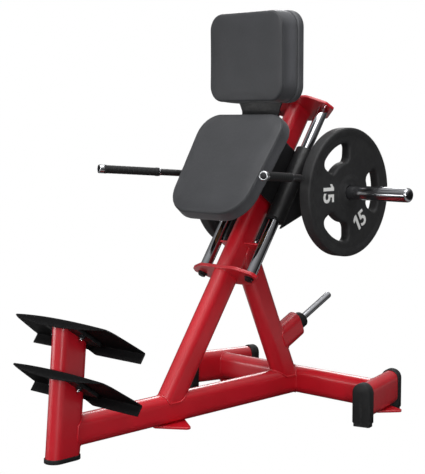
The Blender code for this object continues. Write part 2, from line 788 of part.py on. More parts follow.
def build_gusset(side_name, side, housing_tool, bar_radius):
    """Plate that carries the horn: straight to the bearing housing, round about the horn."""
    centre = (HORN_N, HORN_ALONG)
    low = (GUSSET_N, GUSSET_BOTTOM)
    high = (GUSSET_N, GUSSET_TOP)
    first = tangent_point(low, centre, HORN_BOSS_RADIUS, -1)
    last = tangent_point(high, centre, HORN_BOSS_RADIUS, 1)
    start = math.atan2(first[1] - centre[1], first[0] - centre[0])
    end = math.atan2(last[1] - centre[1], last[0] - centre[0])
    outline = [high, low]
    for k in range(HALF_ROUND_STEPS + 1):
        angle = start + (end - start) * k / HALF_ROUND_STEPS
        outline.append((
            centre[0] + HORN_BOSS_RADIUS * math.cos(angle), centre[1] + HORN_BOSS_RADIUS * math.sin(angle)
        ))
    gusset = slab(
        side_name + "_horn_gusset", [outline, circle(bar_radius + GAP, centre)], GUSSET_SHEET,
        "black_satin_paint", carriage,
        Matrix.Translation((side * (GUSSET_X + GUSSET_SHEET / 2), 0.0, 0.0)) @ flank,
    )
    cut(gusset, housing_tool)


def build_horns():
    bar_radius = CROSSBAR_DIAMETER / 2
    horn_centre = Matrix.Translation((0.0, HORN_N, HORN_ALONG))
    bar_end = HORN_COLLAR_X - GAP
    turned(
        "horn_crossbar",
        ring_profile(bar_radius - CROSSBAR_WALL, bar_radius, -bar_end, bar_end), "black_satin_paint",
        carriage, horn_centre @ along_x,
    )
    for side_name, side in sides.items():
        outward = horn_centre @ frame_of((0, 1, 0), (0, 0, side))
        collar_end = HORN_COLLAR_X + HORN_COLLAR_SHEET
        turned(
            side_name + "_horn_collar",
            [(0.0, collar_end), (HORN_COLLAR_DIAMETER / 2 - 0.0015, collar_end),
             (HORN_COLLAR_DIAMETER / 2, collar_end - 0.0015), (HORN_COLLAR_DIAMETER / 2, HORN_COLLAR_X),
             (0.0, HORN_COLLAR_X)],
            "black_satin_paint", carriage, outward, closed=False,
        )
        radius = HORN_DIAMETER / 2
        bore = radius - HORN_WALL
        profile = [(0.0, HORN_END)]
        for k in range(7):
            angle = math.pi / 2 * (1 - k / 6)
            profile.append((
                radius - HORN_ROUNDING + HORN_ROUNDING * math.cos(angle),
                HORN_END - HORN_ROUNDING + HORN_ROUNDING * math.sin(angle),
            ))
        start = collar_end + GAP
        profile += [
            (radius, start), (bore, start), (bore, HORN_END - HORN_ROUNDING), (0.0, HORN_END - HORN_ROUNDING),
        ]
        turned(side_name + "_weight_horn", profile, "chrome", carriage, outward, closed=False)
        housing_tool = round_bar(
            "cut_" + side_name + "_housing", HOUSING_DIAMETER / 2 + GAP, GUSSET_BOTTOM - 0.01,
            HOUSING_TOP + 0.02, None, carriage, Matrix.Translation((side * rod_x, 0.0, 0.0)), cutters,
        )
        build_gusset(side_name, side, housing_tool, bar_radius)


def build_rear_plate():
    half = GUSSET_X - GAP
    centre = REAR_PLATE_N + REAR_PLATE_SHEET / 2
    middle = (SIDE_PLATE_FRONT_BOTTOM + SIDE_PLATE_TOP) / 2
    length = SIDE_PLATE_TOP - SIDE_PLATE_FRONT_BOTTOM
    slab(
        "rear_cross_plate", [rectangle(2 * half, length, 0.004)], REAR_PLATE_SHEET,
        "black_satin_paint", carriage,
        Matrix.Translation((0.0, centre, middle)) @ frame_of((1, 0, 0), (0, 0, 1)),
    )


# Discs that slide off the horns

def slot_outline(middle):
    """Curved slot about a direction on the disc: a rounded oblong bent round the centre."""
    points = []
    for along_arc, out in dense(rectangle(SLOT_LENGTH, SLOT_WIDTH, SLOT_CORNER), 0.024):
        angle = middle + along_arc / SLOT_RADIUS
        radius = SLOT_RADIUS + out
        points.append((radius * math.cos(angle), radius * math.sin(angle)))
    return points


def build_disc(side_name, side):
    axes = add_axes(
        side_name + "_disc_axes", carriage,
        (side * (HORN_COLLAR_X + HORN_COLLAR_SHEET + GAP), HORN_N, HORN_ALONG),
    )
    tilt_back = Matrix.Rotation(RAIL_TILT, 4, "X")
    outward = tilt_back @ frame_of((0, 1, 0), (0, 0, side))
    rim = DISC_DIAMETER / 2
    bore = HORN_DIAMETER / 2 + DISC_BORE_CLEARANCE
    sink = (DISC_THICKNESS - DISC_WEB) / 2
    slope = sink
    edge = 0.006
    hub = DISC_HUB_RADIUS
    inner_rim = rim - DISC_RIM_WIDTH
    half_profile = [
        (bore + 0.002, 0.0), (bore, 0.002), (bore, DISC_THICKNESS / 2),
    ]
    front = [
        (hub, 0.0), (hub + slope, sink), (inner_rim - slope, sink), (inner_rim, 0.0),
        (rim - edge, 0.0), (rim - edge * 0.3, edge * 0.3), (rim, edge),
    ]
    top = [(r, DISC_THICKNESS - h) for r, h in [half_profile[1], half_profile[0]] + front]
    bottom = list(reversed([half_profile[1], half_profile[0]] + front))
    disc = turned(
        side_name + "_weight_plate", top + bottom, "disc_rubber", axes, outward, steps=48
    )
    disc.rotation_mode = "QUATERNION"
    for number, angle in enumerate(SLOT_ANGLES):
        tool = slab(
            f"cut_{side_name}_slot_{number}", [slot_outline(math.radians(angle))], 4 * DISC_THICKNESS,
            None, axes, outward, cutters,
        )
        cut(disc, tool)


# Pads, their boards and the bent bracket

def cushion(name, outline, thickness, crown, parent, matrix):
    """Stuffed pad on local Z: drawn in at the board, full at the sides, seamed and crowned."""
    edge = thickness - crown
    seam = edge - 0.005
    outline = dense(outline)
    rings = [
        (0.0060, 0.0), (0.0020, 0.0025), (0.0004, 0.3 * edge), (0.0, 0.6 * edge),
        (0.0006, seam - 0.004), (0.0026, seam - 0.001), (0.0026, seam + 0.001), (0.0006, seam + 0.003),
        (0.0020, edge), (0.0060, edge + 0.12 * crown), (0.0170, edge + 0.35 * crown),
    ]
    loops = [(inset(outline, amount), height) for amount, height in rings]
    last = loops[-1][0]
    middle = Vector((sum(p[0] for p in last), sum(p[1] for p in last))) / len(last)
    for share in (0.80, 0.55, 0.28):
        loop = [tuple(middle.lerp(Vector(p), share)) for p in last]
        loops.append((loop, edge + crown * (0.35 + 0.65 * (1 - share * share))))
    count = len(outline)
    points = [(x, y, height) for loop, height in loops for x, y in loop]
    faces = [tuple(reversed(range(count)))]
    for row in range(len(loops) - 1):
        for k in range(count):
            first = row * count + k
            second = row * count + (k + 1) % count
            faces.append((first, second, second + count, first + count))
    points.append((middle.x, middle.y, thickness))
    top = (len(loops) - 1) * count
    for k in range(count):
        faces.append((top + k, top + (k + 1) % count, len(points) - 1))
    mesh = bpy.data.meshes.new(name)
    mesh.from_pydata(points, [], faces)
    smooth(mesh, 50.0)
    return add_object(name, mesh, "upholstery", parent, matrix)


def build_pads():
    half_low, half_high = SEAT_BOTTOM_WIDTH / 2, SEAT_TOP_WIDTH / 2
    seat_outline = rounded([
        (-half_low, SEAT_BOTTOM, SEAT_BOTTOM_RADIUS), (half_low, SEAT_BOTTOM, SEAT_BOTTOM_RADIUS),
        (half_high, SEAT_TOP, SEAT_TOP_RADIUS), (-half_high, SEAT_TOP, SEAT_TOP_RADIUS),
    ])
    facing = frame_of((1, 0, 0), (0, 0, 1))
    forward = Matrix.Translation((0.0, seat_back_n, 0.0)) @ facing
    cushion("seat_cushion", seat_outline, SEAT_THICKNESS, SEAT_CROWN, carriage, forward)
    board_middle = seat_back_n + GAP + BOARD_THICKNESS / 2
    slab(
        "seat_board", [inset(dense(seat_outline), BOARD_INSET)], BOARD_THICKNESS, "plywood", carriage,
        Matrix.Translation((0.0, board_middle, 0.0)) @ facing,
    )
    height = BACK_TOP - BACK_BOTTOM
    back_outline = rectangle(BACK_WIDTH, height, BACK_RADIUS, (0.0, (BACK_TOP + BACK_BOTTOM) / 2))
    back_place = upright_place @ Matrix.Translation((0.0, BACK_FACE_Y + BACK_THICKNESS, 0.0)) @ facing
    cushion("back_cushion", back_outline, BACK_THICKNESS, BACK_CROWN, upright, back_place)
    shell = slab(
        "back_shell", [inset(dense(back_outline), SHELL_INSET)], BACK_SHELL, "upholstery", upright,
        upright_place @ Matrix.Translation((0.0, bracket_y + BACK_SHELL / 2, 0.0)) @ facing,
    )
    pocket = box_cutter(
        "cut_pocket", (-BRACKET_WIDTH / 2 - GAP, bracket_y - BRACKET_SHEET, BACK_BOTTOM - 0.05),
        (BRACKET_WIDTH / 2 + GAP, bracket_y + BRACKET_SHEET + GAP, BRACKET_TOP + GAP), upright,
        upright_place,
    )
    cut(shell, pocket)
    build_bracket()


def build_bracket():
    """Bent strip: up the back of the seat board, round a bend, and up the back board."""
    sine, cosine = math.sin(RAIL_TILT), math.cos(RAIL_TILT)

    def on_rail(n, t):
        return Vector((RAIL_FOOT_Y + t * sine + n * cosine, t * cosine - n * sine))

    start = on_rail(bracket_n, BRACKET_BOTTOM)
    corner_t = (bracket_y - RAIL_FOOT_Y - bracket_n * cosine) / sine
    corner = on_rail(bracket_n, corner_t)
    end = Vector((bracket_y, BRACKET_TOP))
    tangent = BRACKET_BEND * math.tan(RAIL_TILT / 2)
    path = [start]
    steps = 6
    lower = (corner - start).normalized()
    bend_start = corner - lower * tangent
    centre = bend_start + Vector((-lower.y, lower.x)) * BRACKET_BEND
    rows = 6
    path += [start.lerp(bend_start, k / rows) for k in range(1, rows)]
    for k in range(steps + 1):
        angle = -RAIL_TILT * k / steps
        arm = bend_start - centre
        turned_arm = Vector((
            arm.x * math.cos(-angle) - arm.y * math.sin(-angle),
            arm.x * math.sin(-angle) + arm.y * math.cos(-angle),
        ))
        path.append(centre + turned_arm)
    path += [path[-1].lerp(end, k / rows) for k in range(1, rows + 1)]
    points = []
    for y, z in path:
        near = math.exp(-((z - NECK_HEIGHT) / 0.06) ** 2)
        half = BRACKET_WIDTH / 2 - (BRACKET_WIDTH - NECK_WIDTH) / 2 * near
        points += [(-half, y, z), (half, y, z)]
    faces = [(2 * k, 2 * k + 1, 2 * k + 3, 2 * k + 2) for k in range(len(path) - 1)]
    mesh = bpy.data.meshes.new("pad_bracket")
    mesh.from_pydata(points, [], faces)
    smooth(mesh)
    bracket = add_object("pad_bracket", mesh, "black_satin_paint", upright, upright_place)
    solidify = bracket.modifiers.new("sheet", "SOLIDIFY")
    solidify.thickness = BRACKET_SHEET
    solidify.offset = -1.0
    solidify.use_even_offset = True


# Handles

def build_handle(side_name, side):
    sine, cosine = math.sin(RAIL_TILT), math.cos(RAIL_TILT)
    root = Vector((
        side_plate_outer + GAP, RAIL_FOOT_Y + HANDLE_ALONG * sine + HANDLE_N * cosine,
        HANDLE_ALONG * cosine - HANDLE_N * sine,
    ))
    corner = Vector((HANDLE_CORNER_X, root.y, root.z))
    tip = Vector(HANDLE_END)
    inward = (root - corner).normalized()
    outward = (tip - corner).normalized()
    half = inward.angle(outward) / 2
    reach = HANDLE_BEND / math.tan(half)
    centre = corner + (inward + outward).normalized() * HANDLE_BEND / math.sin(half)
    first = corner + inward * reach - centre
    axis = first.cross(corner + outward * reach - centre).normalized()
    bar_end = tip - outward * GRIP_CAP_LENGTH
    path = [root]
    steps = 8
    for k in range(steps + 1):
        turn = Matrix.Rotation((math.pi - 2 * half) * k / steps, 3, axis)
        path.append(centre + turn @ first)
    path.append(bar_end)
    curve = bpy.data.curves.new(side_name + "_handle_bar", "CURVE")
    curve.dimensions = "3D"
    curve.bevel_depth = HANDLE_DIAMETER / 2
    curve.bevel_resolution = 4
    curve.use_fill_caps = True
    spline = curve.splines.new("POLY")
    spline.points.add(len(path) - 1)
    for point, place in zip(spline.points, path):
        point.co = (side * place.x, place.y, place.z, 1.0)
    curve.materials.append(materials["black_satin_paint"])
    bar = bpy.data.objects.new(side_name + "_handle_bar", curve)
    bar.parent = upright
    bar.matrix_local = upright_place
    parts.objects.link(bar)

    mirrored = Vector((side * outward.x, outward.y, outward.z))
    sideways = mirrored.cross(Vector((0, 0, 1))).normalized()
    place = upright_place @ frame_of(
        sideways, mirrored.cross(sideways), (side * tip.x, tip.y, tip.z)
    )
    outer = GRIP_DIAMETER / 2
    bore = HANDLE_DIAMETER / 2 + GAP
    top = -GRIP_CAP_LENGTH - GAP
    turned(
        side_name + "_grip", ring_profile(bore, outer, top - GRIP_LENGTH, top, 0.003), "rubber",
        upright, place, steps=24,
    )
    turned(
        side_name + "_grip_cap",
        [(0.0, 0.0), (outer - 0.003, 0.0), (outer, -0.003), (outer, -GRIP_CAP_LENGTH + GAP),
         (0.0, -GRIP_CAP_LENGTH + GAP)],
        "chrome", upright, place, closed=False, steps=24,
    )


beam_cutter, crossbar_cutter = build_base()
build_foot_plates(bpy.data.objects["cut_post"])
build_column(beam_cutter, crossbar_cutter)
for side_name, side in sides.items():
    build_bearings(side_name, side)
    build_side_plates(side_name, side)
    build_disc(side_name, side)
    build_handle(side_name, side)
build_rear_plate()
build_horns()
build_pads()


# The origin lies on the floor at the middle of the machine's footprint

def footprint():
    graph = bpy.context.evaluated_depsgraph_get()
    lows, highs = [], []
    for solid in parts.objects:
        if solid.type == "EMPTY":
            continue
        evaluated = solid.evaluated_get(graph)
        mesh = evaluated.to_mesh()
        reach = [(evaluated.matrix_world @ vertex.co).y for vertex in mesh.vertices]
        lows.append(min(reach))
        highs.append(max(reach))
        evaluated.to_mesh_clear()
    return min(lows), max(highs)


bpy.context.view_layer.update()
front_edge, rear_edge = footprint()
machine.location.y = -(front_edge + rear_edge) / 2
bpy.context.view_layer.update()
print("shift rearward", round(machine.location.y, 6))
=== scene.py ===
# Standing calf raise machine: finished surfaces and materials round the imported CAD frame.
import math

import bmesh
import bpy
import numpy as np
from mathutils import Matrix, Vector
from mathutils.bvhtree import BVHTree


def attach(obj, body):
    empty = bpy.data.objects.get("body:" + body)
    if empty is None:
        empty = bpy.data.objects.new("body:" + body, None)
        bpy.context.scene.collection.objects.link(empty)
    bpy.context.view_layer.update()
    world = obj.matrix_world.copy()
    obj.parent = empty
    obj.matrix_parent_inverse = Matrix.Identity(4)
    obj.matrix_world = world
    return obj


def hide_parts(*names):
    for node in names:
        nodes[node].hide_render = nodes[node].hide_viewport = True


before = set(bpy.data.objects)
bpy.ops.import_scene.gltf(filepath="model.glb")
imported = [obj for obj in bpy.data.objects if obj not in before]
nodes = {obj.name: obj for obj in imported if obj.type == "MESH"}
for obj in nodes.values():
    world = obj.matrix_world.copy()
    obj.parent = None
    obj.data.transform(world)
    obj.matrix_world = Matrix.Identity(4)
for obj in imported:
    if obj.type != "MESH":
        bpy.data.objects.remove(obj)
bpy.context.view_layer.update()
print("stage: frame loaded,", len(nodes), "nodes")

machine = dict(
    shift=-0.623965,            # puts the origin at the middle of the footprint
    railFootY=0.3838, railTilt=34.5, legFootY=1.099, legTilt=-24.9, postTilt=5.04,
    beamHeight=0.085, crossbarY=1.110, footTubeX=0.376, footSplay=15.2, footTubeReach=0.144,
    tubeWidth=0.060, tubeDepth=0.100, deepTube=0.120,
    gap=0.0003,                 # left between solids that are bolted or pressed together
    pole=0.0004,                # radius of the flat that closes a turned solid on its axis
    touch=0.00004,              # tubes nearer than this meet
)
sides = {"left": -1, "right": 1}
turn = 2 * math.pi


# Local frames: 4x4 arrays whose columns are across, along, their cross product and the origin

def unit(vectors):
    vectors = np.asarray(vectors, float)
    return vectors / np.maximum(np.linalg.norm(vectors, axis=-1, keepdims=True), 1e-12)


def localFrame(origin, across, along):
    x, y = unit(across), unit(along)
    made = np.eye(4)
    made[:3, 0], made[:3, 1], made[:3, 2], made[:3, 3] = x, y, np.cross(x, y), origin
    return made


def tilted(y, degrees):
    angle = math.radians(degrees)
    origin = (0, y + machine["shift"], 0)
    return localFrame(origin, (1, 0, 0), (0, math.cos(angle), -math.sin(angle)))


def within(outer, origin=(0, 0, 0), across=(1, 0, 0), along=(0, 1, 0)):
    return outer @ localFrame(origin, across, along)


def placed(points, place):
    return np.asarray(points, float) @ place[:3, :3].T + place[:3, 3]


def moved(shape, place):
    points, faces = shape
    return placed(points, place), faces


rail = tilted(machine["railFootY"], machine["railTilt"])
leg = tilted(machine["legFootY"], machine["legTilt"])
post = tilted(0, machine["postTilt"])
world = np.eye(4)
world[1, 3] = machine["shift"]


# Outlines in a plane

def around(radius, angle):
    return np.stack([radius * np.cos(angle), radius * np.sin(angle)], -1)


def raised(outline, height):
    # a flat outline set at a height, or at a height of its own for each point
    return np.concatenate([outline, np.broadcast_to(height, len(outline))[:, None]], 1)


def ovalOutline(width, depth, steps=20, straights=3, grow=0.0):
    # two half circles of the width, joined by straight sides, counter-clockwise
    radius, half = width / 2 + grow, (depth - width) / 2
    arc = around(radius, np.linspace(0, math.pi, steps + 1)) + [0, half]
    share = np.linspace(0, 1, straights + 2)[1:-1, None]
    side = arc[-1] + (-arc[0] - arc[-1]) * share
    return np.concatenate([arc, side, -arc, -side])


def roundedOutline(corners, steps=8, closed=True):
    # each corner (x, y, radius) becomes an arc that touches both of its sides
    points = []
    count = len(corners)
    for i, (x, y, radius) in enumerate(corners):
        here = np.array([x, y], float)
        if radius <= 0 or (not closed and i in (0, count - 1)):
            points.append(here[None])
            continue
        before = unit(np.array(corners[i - 1][:2]) - here)
        after = unit(np.array(corners[(i + 1) % count][:2]) - here)
        half = math.acos(np.clip(before @ after, -1, 1)) / 2
        centre = here + unit(before + after) * radius / math.sin(half)
        start = here + before * radius / math.tan(half) - centre
        end = here + after * radius / math.tan(half) - centre
        first = math.atan2(start[1], start[0])
        sweep = (math.atan2(end[1], end[0]) - first + math.pi) % turn - math.pi
        points.append(centre + around(radius, first + sweep * np.linspace(0, 1, steps + 1)))
    return np.concatenate(points)


def box2d(width, length, radius, centre=(0, 0), steps=8):
    x, y = centre
    w, l = width / 2, length / 2
    return roundedOutline([(x - w, y - l, radius), (x + w, y - l, radius),
                           (x + w, y + l, radius), (x - w, y + l, radius)], steps)


def resampled(outline, count):
    # the same closed outline with its points at even steps of its length
    closed = np.concatenate([outline, outline[:1]])
    length = np.concatenate([[0], np.cumsum(np.linalg.norm(np.diff(closed, axis=0), axis=1))])
    at = np.linspace(0, length[-1], count, endpoint=False)
    return np.stack([np.interp(at, length, closed[:, k]) for k in range(outline.shape[1])], 1)


def outlineNormals(outline):
    run = unit(np.roll(outline, -1, 0) - np.roll(outline, 1, 0))
    return np.stack([run[:, 1], -run[:, 0]], 1)


def outlineLength(outline):
    return np.linalg.norm(np.diff(outline, axis=0, append=outline[:1]), axis=1).sum()


# Surfaces: each returns points and faces

def shell(rings, closedRows=False):
    # rings of equal count, joined by quads; the first and last are closed flat
    rings = np.asarray(rings, float)
    rowCount, columns = rings.shape[:2]
    row = np.arange(rowCount if closedRows else rowCount - 1)[:, None]
    column = np.arange(columns)[None]
    nextRow, nextColumn = (row + 1) % rowCount, (column + 1) % columns
    quads = np.stack([row * columns + column, row * columns + nextColumn,
                      nextRow * columns + nextColumn, nextRow * columns + column], -1)
    faces = quads.reshape(-1, 4).tolist()
    if not closedRows:
        faces.append(list(range(columns))[::-1])
        faces.append(list(range((rowCount - 1) * columns, rowCount * columns)))
    return rings.reshape(-1, 3), faces


def turned(profile, place, steps=64, closedRows=False):
    # a profile of (radius, height) turned about the local third axis, outer side upwards
    rings = [raised(circle(radius, steps), height) for radius, height in profile]
    return shell(placed(rings, place), closedRows)


def turnedRing(inner, outer, low, high, edge, place, steps=64):
    corners = [(outer, low, edge), (outer, high, edge), (inner, high, edge), (inner, low, edge)]
    return turned(roundedOutline(corners, 4), place, steps, closedRows=True)


def turnedSolid(corners, place, steps=64, arcSteps=5):
    # corners (radius, height, rounding) from the bottom's middle to the top's middle
    return turned(roundedOutline(corners, arcSteps, closed=False), place, steps)


def turnedBar(radius, low, high, place, steps=64, edges=(0, 0), arcSteps=5):
    # a plain round bar whose lower and upper rims are rounded off by the two edges
    return turnedSolid([(machine["pole"], low, 0), (radius, low, edges[0]), (radius, high, edges[1]),
                        (machine["pole"], high, 0)], place, steps, arcSteps)


def sheetPlate(outline, low, high, edge, place, steps=3, margin=0.003):
    # a flat plate whose rims are rounded off by edge: the outline drawn in at both faces
    normals = outlineNormals(outline)
    angle = np.linspace(0, math.pi / 2, steps + 1)
    rim = edge * (1 - np.sin(angle))
    drawn = np.concatenate([[edge + margin], rim, rim[::-1], [edge + margin]])
    up = edge * (1 - np.cos(angle))
    height = np.concatenate([[low], low + up, high - up[::-1], [high]])
    rings = [raised(outline - normals * inset, level) for inset, level in zip(drawn, height)]
    return shell(placed(rings, place))


def swept(path, ring, closedPath=False, up=(0, 0, 1)):
    # a ring of (sideways, upward) points carried along a path of points in space
    path = np.asarray(path, float)
    run = unit(np.roll(path, -1, 0) - np.roll(path, 1, 0) if closedPath else np.gradient(path, axis=0))
    side = unit(np.cross(up, run))
    lift = np.cross(run, side)
    ring = np.broadcast_to(np.asarray(ring, float), (len(path),) + np.asarray(ring).shape[-2:])
    rings = path[:, None] + side[:, None] * ring[..., :1] + lift[:, None] * ring[..., 1:2]
    return shell(rings, closedPath)


def circle(radius, steps=16):
    return around(radius, np.linspace(0, turn, steps, endpoint=False))


def joined(*shapes):
    points, faces, count = [], [], 0
    for part, corners in shapes:
        points.append(part)
        faces += [[k + count for k in face] for face in corners]
        count += len(part)
    return np.concatenate(points), faces


bolt = dict(washer=0.0018, washerReach=0.72, washerPole=0.0005, washerEdge=0.0004, chamfer=0.0012, crown=0.90)
screw = dict(droop=0.62, socket=0.42, socketTaper=0.98, pole=0.0002)


def hexHead(place, size, height):
    # a hexagon head with its top corners turned off, on a washer
    base = bolt["washer"]
    corner = size / 2 / math.cos(turn / 12)
    rings = []
    for radius, z in ((corner, base), (corner, base + height - bolt["chamfer"]),
                      (corner * bolt["crown"], base + height)):
        rings.append(raised(circle(radius, 6), z))
    reach, edge, pole = size * bolt["washerReach"], bolt["washerEdge"], bolt["washerPole"]
    washer = turnedSolid([(pole, 0, 0), (reach, 0, edge), (reach, base, edge), (pole, base, 0)], place, 28, 2)
    return joined(washer, shell(placed(rings, place)))


def screwHead(place, radius, height):
    # a low dome with a socket sunk in its middle
    angle = np.linspace(0, math.pi / 2, 6)
    dome = [(radius * math.cos(a * screw["droop"]), height * math.sin(a)) for a in angle]
    socket = radius * screw["socket"]
    sunk = [(socket, height), (socket * screw["socketTaper"], height * 0.35), (screw["pole"], height * 0.3)]
    return turned([(screw["pole"], 0)] + dome + sunk, place, 24)


# Materials

def hexColour(text):
    value = np.array([int(text[k:k + 2], 16) for k in (1, 3, 5)]) / 255
    linear = np.where(value <= 0.04045, value / 12.92, ((value + 0.055) / 1.055) ** 2.4)
    return (*linear.tolist(), 1.0)


def addNode(material, kind, settings=None, links=None):
    made = material.node_tree.nodes.new(kind)
    for name, value in (settings or {}).items():
        if isinstance(name, int) or name in made.inputs:
            made.inputs[name].default_value = value
        else:
            setattr(made, name, value)
    for name, source in (links or {}).items():
        material.node_tree.links.new(source, made.inputs[name])
    return made


def millimetres(size):
    return 1000 / size              # a texture's scale for a pattern of that size


def newMaterial(name, colour, roughness, metallic=0.0, **sockets):
    material = bpy.data.materials.new(name)
    material.use_nodes = True
    shader = material.node_tree.nodes["Principled BSDF"]
    shader.inputs["Base Color"].default_value = hexColour(colour)
    shader.inputs["Roughness"].default_value = roughness
    shader.inputs["Metallic"].default_value = metallic
    for socket, value in sockets.items():
        shader.inputs[socket.replace("_", " ")].default_value = value
    material.diffuse_color = hexColour(colour)
    return material, shader


def blended(material, shader, socket, factor, low, high):
    # a texture's value, spread between two colours or two numbers
    if isinstance(low, str):
        ramp = addNode(material, "ShaderNodeValToRGB", {}, {"Fac": factor})
        ramp.color_ramp.elements[0].color = hexColour(low)
        ramp.color_ramp.elements[1].color = hexColour(high)
        ramp.color_ramp.elements[0].position, ramp.color_ramp.elements[1].position = 0.3, 0.7
        result = ramp.outputs["Color"]
    else:
        spread = addNode(material, "ShaderNodeMapRange", {"From Min": 0.3, "From Max": 0.7,
                                                          "To Min": low, "To Max": high}, {"Value": factor})
        result = spread.outputs["Result"]
    material.node_tree.links.new(result, shader.inputs[socket])


def bumped(material, shader, heights):
    # heights: (texture output, depth in metres), one bump on the other
    before = None
    for height, depth in heights:
        links = {"Height": height}
        if before:
            links["Normal"] = before
        bump = addNode(material, "ShaderNodeBump", {"Strength": 1.0, "Distance": depth}, links)
        before = bump.outputs["Normal"]
    material.node_tree.links.new(before, shader.inputs["Normal"])


def rubbed(material, shader, colour, size, amount):
    # wear along edges: the piece's own attribute, broken up into patches of the given size in mm
    edge = addNode(material, "ShaderNodeAttribute", {"attribute_name": "rubbed"}).outputs["Fac"]
    patches = addNode(material, "ShaderNodeMapRange", {
        "From Min": 0.40, "From Max": 0.62, "To Max": amount,
    }, {"Value": objectNoise(material, size, 5.0)}).outputs["Result"]
    share = addNode(material, "ShaderNodeMath", {"operation": "MULTIPLY"}, {0: edge, 1: patches})
    under = shader.inputs["Base Color"].links[0].from_socket
    mixed = addNode(material, "ShaderNodeMix", {"data_type": "RGBA", 7: hexColour(colour)},
                    {0: share.outputs[0], 6: under})
    material.node_tree.links.new(mixed.outputs[2], shader.inputs["Base Color"])


def objectNoise(material, size, detail=2.0, stretch=None):
    # cloudy noise of the given size in mm, on Object coordinates
    where = addNode(material, "ShaderNodeTexCoord").outputs["Object"]
    if stretch:
        mapping = addNode(material, "ShaderNodeMapping", {"Scale": stretch}, {"Vector": where})
        where = mapping.outputs["Vector"]
    return addNode(material, "ShaderNodeTexNoise", {"Scale": millimetres(size), "Detail": detail},
                   {"Vector": where}).outputs["Fac"]


# One entry for each finish. tint: noise size in mm, its detail and two colours. matt: the same with
# two roughnesses. wear: colour, patch size in mm and amount. grain: size, detail and depth in metres.
# stretch: how many times finer the noise is along each axis.
coatings = {
    # polyester powder baked on steel: deep gloss red with a faint orange peel
    "red": dict(
        name="redPowderCoat", slot="red_powder_coat", colour="#c60d20", roughness=0.40,
        sockets=dict(Coat_Weight=0.9, Coat_Roughness=0.24), tint=(180, 2, "#bf0b1c", "#cc1024"),
        matt=(40, 2, 0.34, 0.44), wear=("#d4646a", 9, 0.45), grain=(3.5, 0, 0.000015)),
    # satin polyester powder: near black, soft broad highlights and a fine leathery peel
    "black": dict(
        name="blackPowderCoat", slot="black_satin_paint", colour="#161617", roughness=0.46,
        tint=(70, 2, "#141415", "#18181a"), matt=(25, 2, 0.42, 0.52), wear=("#545456", 7, 0.5),
        grain=(1.6, 2, 0.00008)),
    # the tread's coarse non-slip powder: black grains that catch the light
    "tread": dict(
        name="gripPowderCoat", slot="black_satin_paint", colour="#0a0a0b", roughness=0.70,
        sockets=dict(Specular_IOR_Level=0.1), tint=(2.4, 3, "#080809", "#0e0e0f"),
        matt=(8, 2, 0.56, 0.70), wear=("#39393a", 6, 0.5), grain=(1.8, 4, 0.00025)),
    # ground and hard-chromed steel: mirror bright with faint grinding marks
    "chrome": dict(
        name="hardChrome", slot="chrome", colour="#bfc0c4", roughness=0.08, metallic=1.0,
        tint=(45, 2, "#b8b9be", "#c4c5c9"), matt=(12, 2, 0.05, 0.12), grain=(0.6, 1, 0.000004)),
    # the same chrome where iron plates slide on and off: fine rings rubbed round the sleeve
    "sleeve": dict(
        name="scuffedChrome", slot="chrome", colour="#bcbdc1", roughness=0.12, metallic=1.0,
        stretch=(14.0, 1.0, 1.0), tint=(6, 4, "#adaeb2", "#c6c7ca"), matt=(6, 4, 0.07, 0.22),
        grain=(6, 4, 0.00002)),
    # bright zinc on bolts: pale, slightly milky reflections
    "zinc": dict(
        name="zincPlate", slot="chrome", colour="#c8cacc", roughness=0.26, metallic=1.0,
        tint=(6, 2, "#bdbfc2", "#d0d2d4"), matt=(4, 2, 0.2, 0.34)),
    # blackened steel bolts: dark, slightly oily reflections
    "blackBolt": dict(
        name="blackOxide", slot="black_satin_paint", colour="#1c1c1e", roughness=0.36, metallic=0.6,
        tint=(5, 2, "#171719", "#242427"), matt=(3, 2, 0.3, 0.46)),
    # injection moulded rubber: matte with a fine spark-eroded grain
    "rubber": dict(
        name="mouldedRubber", slot="rubber", colour="#161718", roughness=0.68,
        sockets=dict(Specular_IOR_Level=0.4), tint=(60, 2, "#131415", "#1a1b1c"),
        wear=("#3a3b3c", 8, 0.6), grain=(0.9, 2, 0.00006)),
    # rubber moulded over a cast disc: charcoal, even and slightly open grained
    "disc": dict(
        name="discRubber", slot="disc_rubber", colour="#272728", roughness=0.66,
        sockets=dict(Specular_IOR_Level=0.4), tint=(35, 3, "#242425", "#2b2b2c"),
        matt=(12, 2, 0.58, 0.70), wear=("#4c4c4d", 12, 0.6), grain=(1.5, 3, 0.00010)),
    # pad-printed white ink on the raised numerals
    "numeral": dict(
        name="numeralPaint", slot="disc_rubber", colour="#eeeeec", roughness=0.5,
        tint=(3, 2, "#e6e6e4", "#f3f3f1")),
    # bonded nylon thread, a shade darker than the cover
    "thread": dict(
        name="seamThread", slot="upholstery", colour="#232427", roughness=0.6,
        tint=(1.0, 2, "#1d1e20", "#2c2d30")),
    # bare plywood edge: pale and dark veneers through the thickness
    "ply": dict(
        name="birchPly", slot="plywood", colour="#b08a58", roughness=0.72, stretch=(1.0, 12.0, 12.0),
        tint=(30, 6, "#a07a48", "#c29c68"), grain=(30, 6, 0.0001)),
    # turned bearing bronze: warm, with fine lathe lines
    "bronze": dict(
        name="machinedBronze", slot="bronze", colour="#b88a45", roughness=0.32, metallic=1.0,
        stretch=(1.0, 1.0, 6.0), tint=(5, 2, "#a87b3a", "#c49650"), matt=(5, 2, 0.25, 0.4)),
}


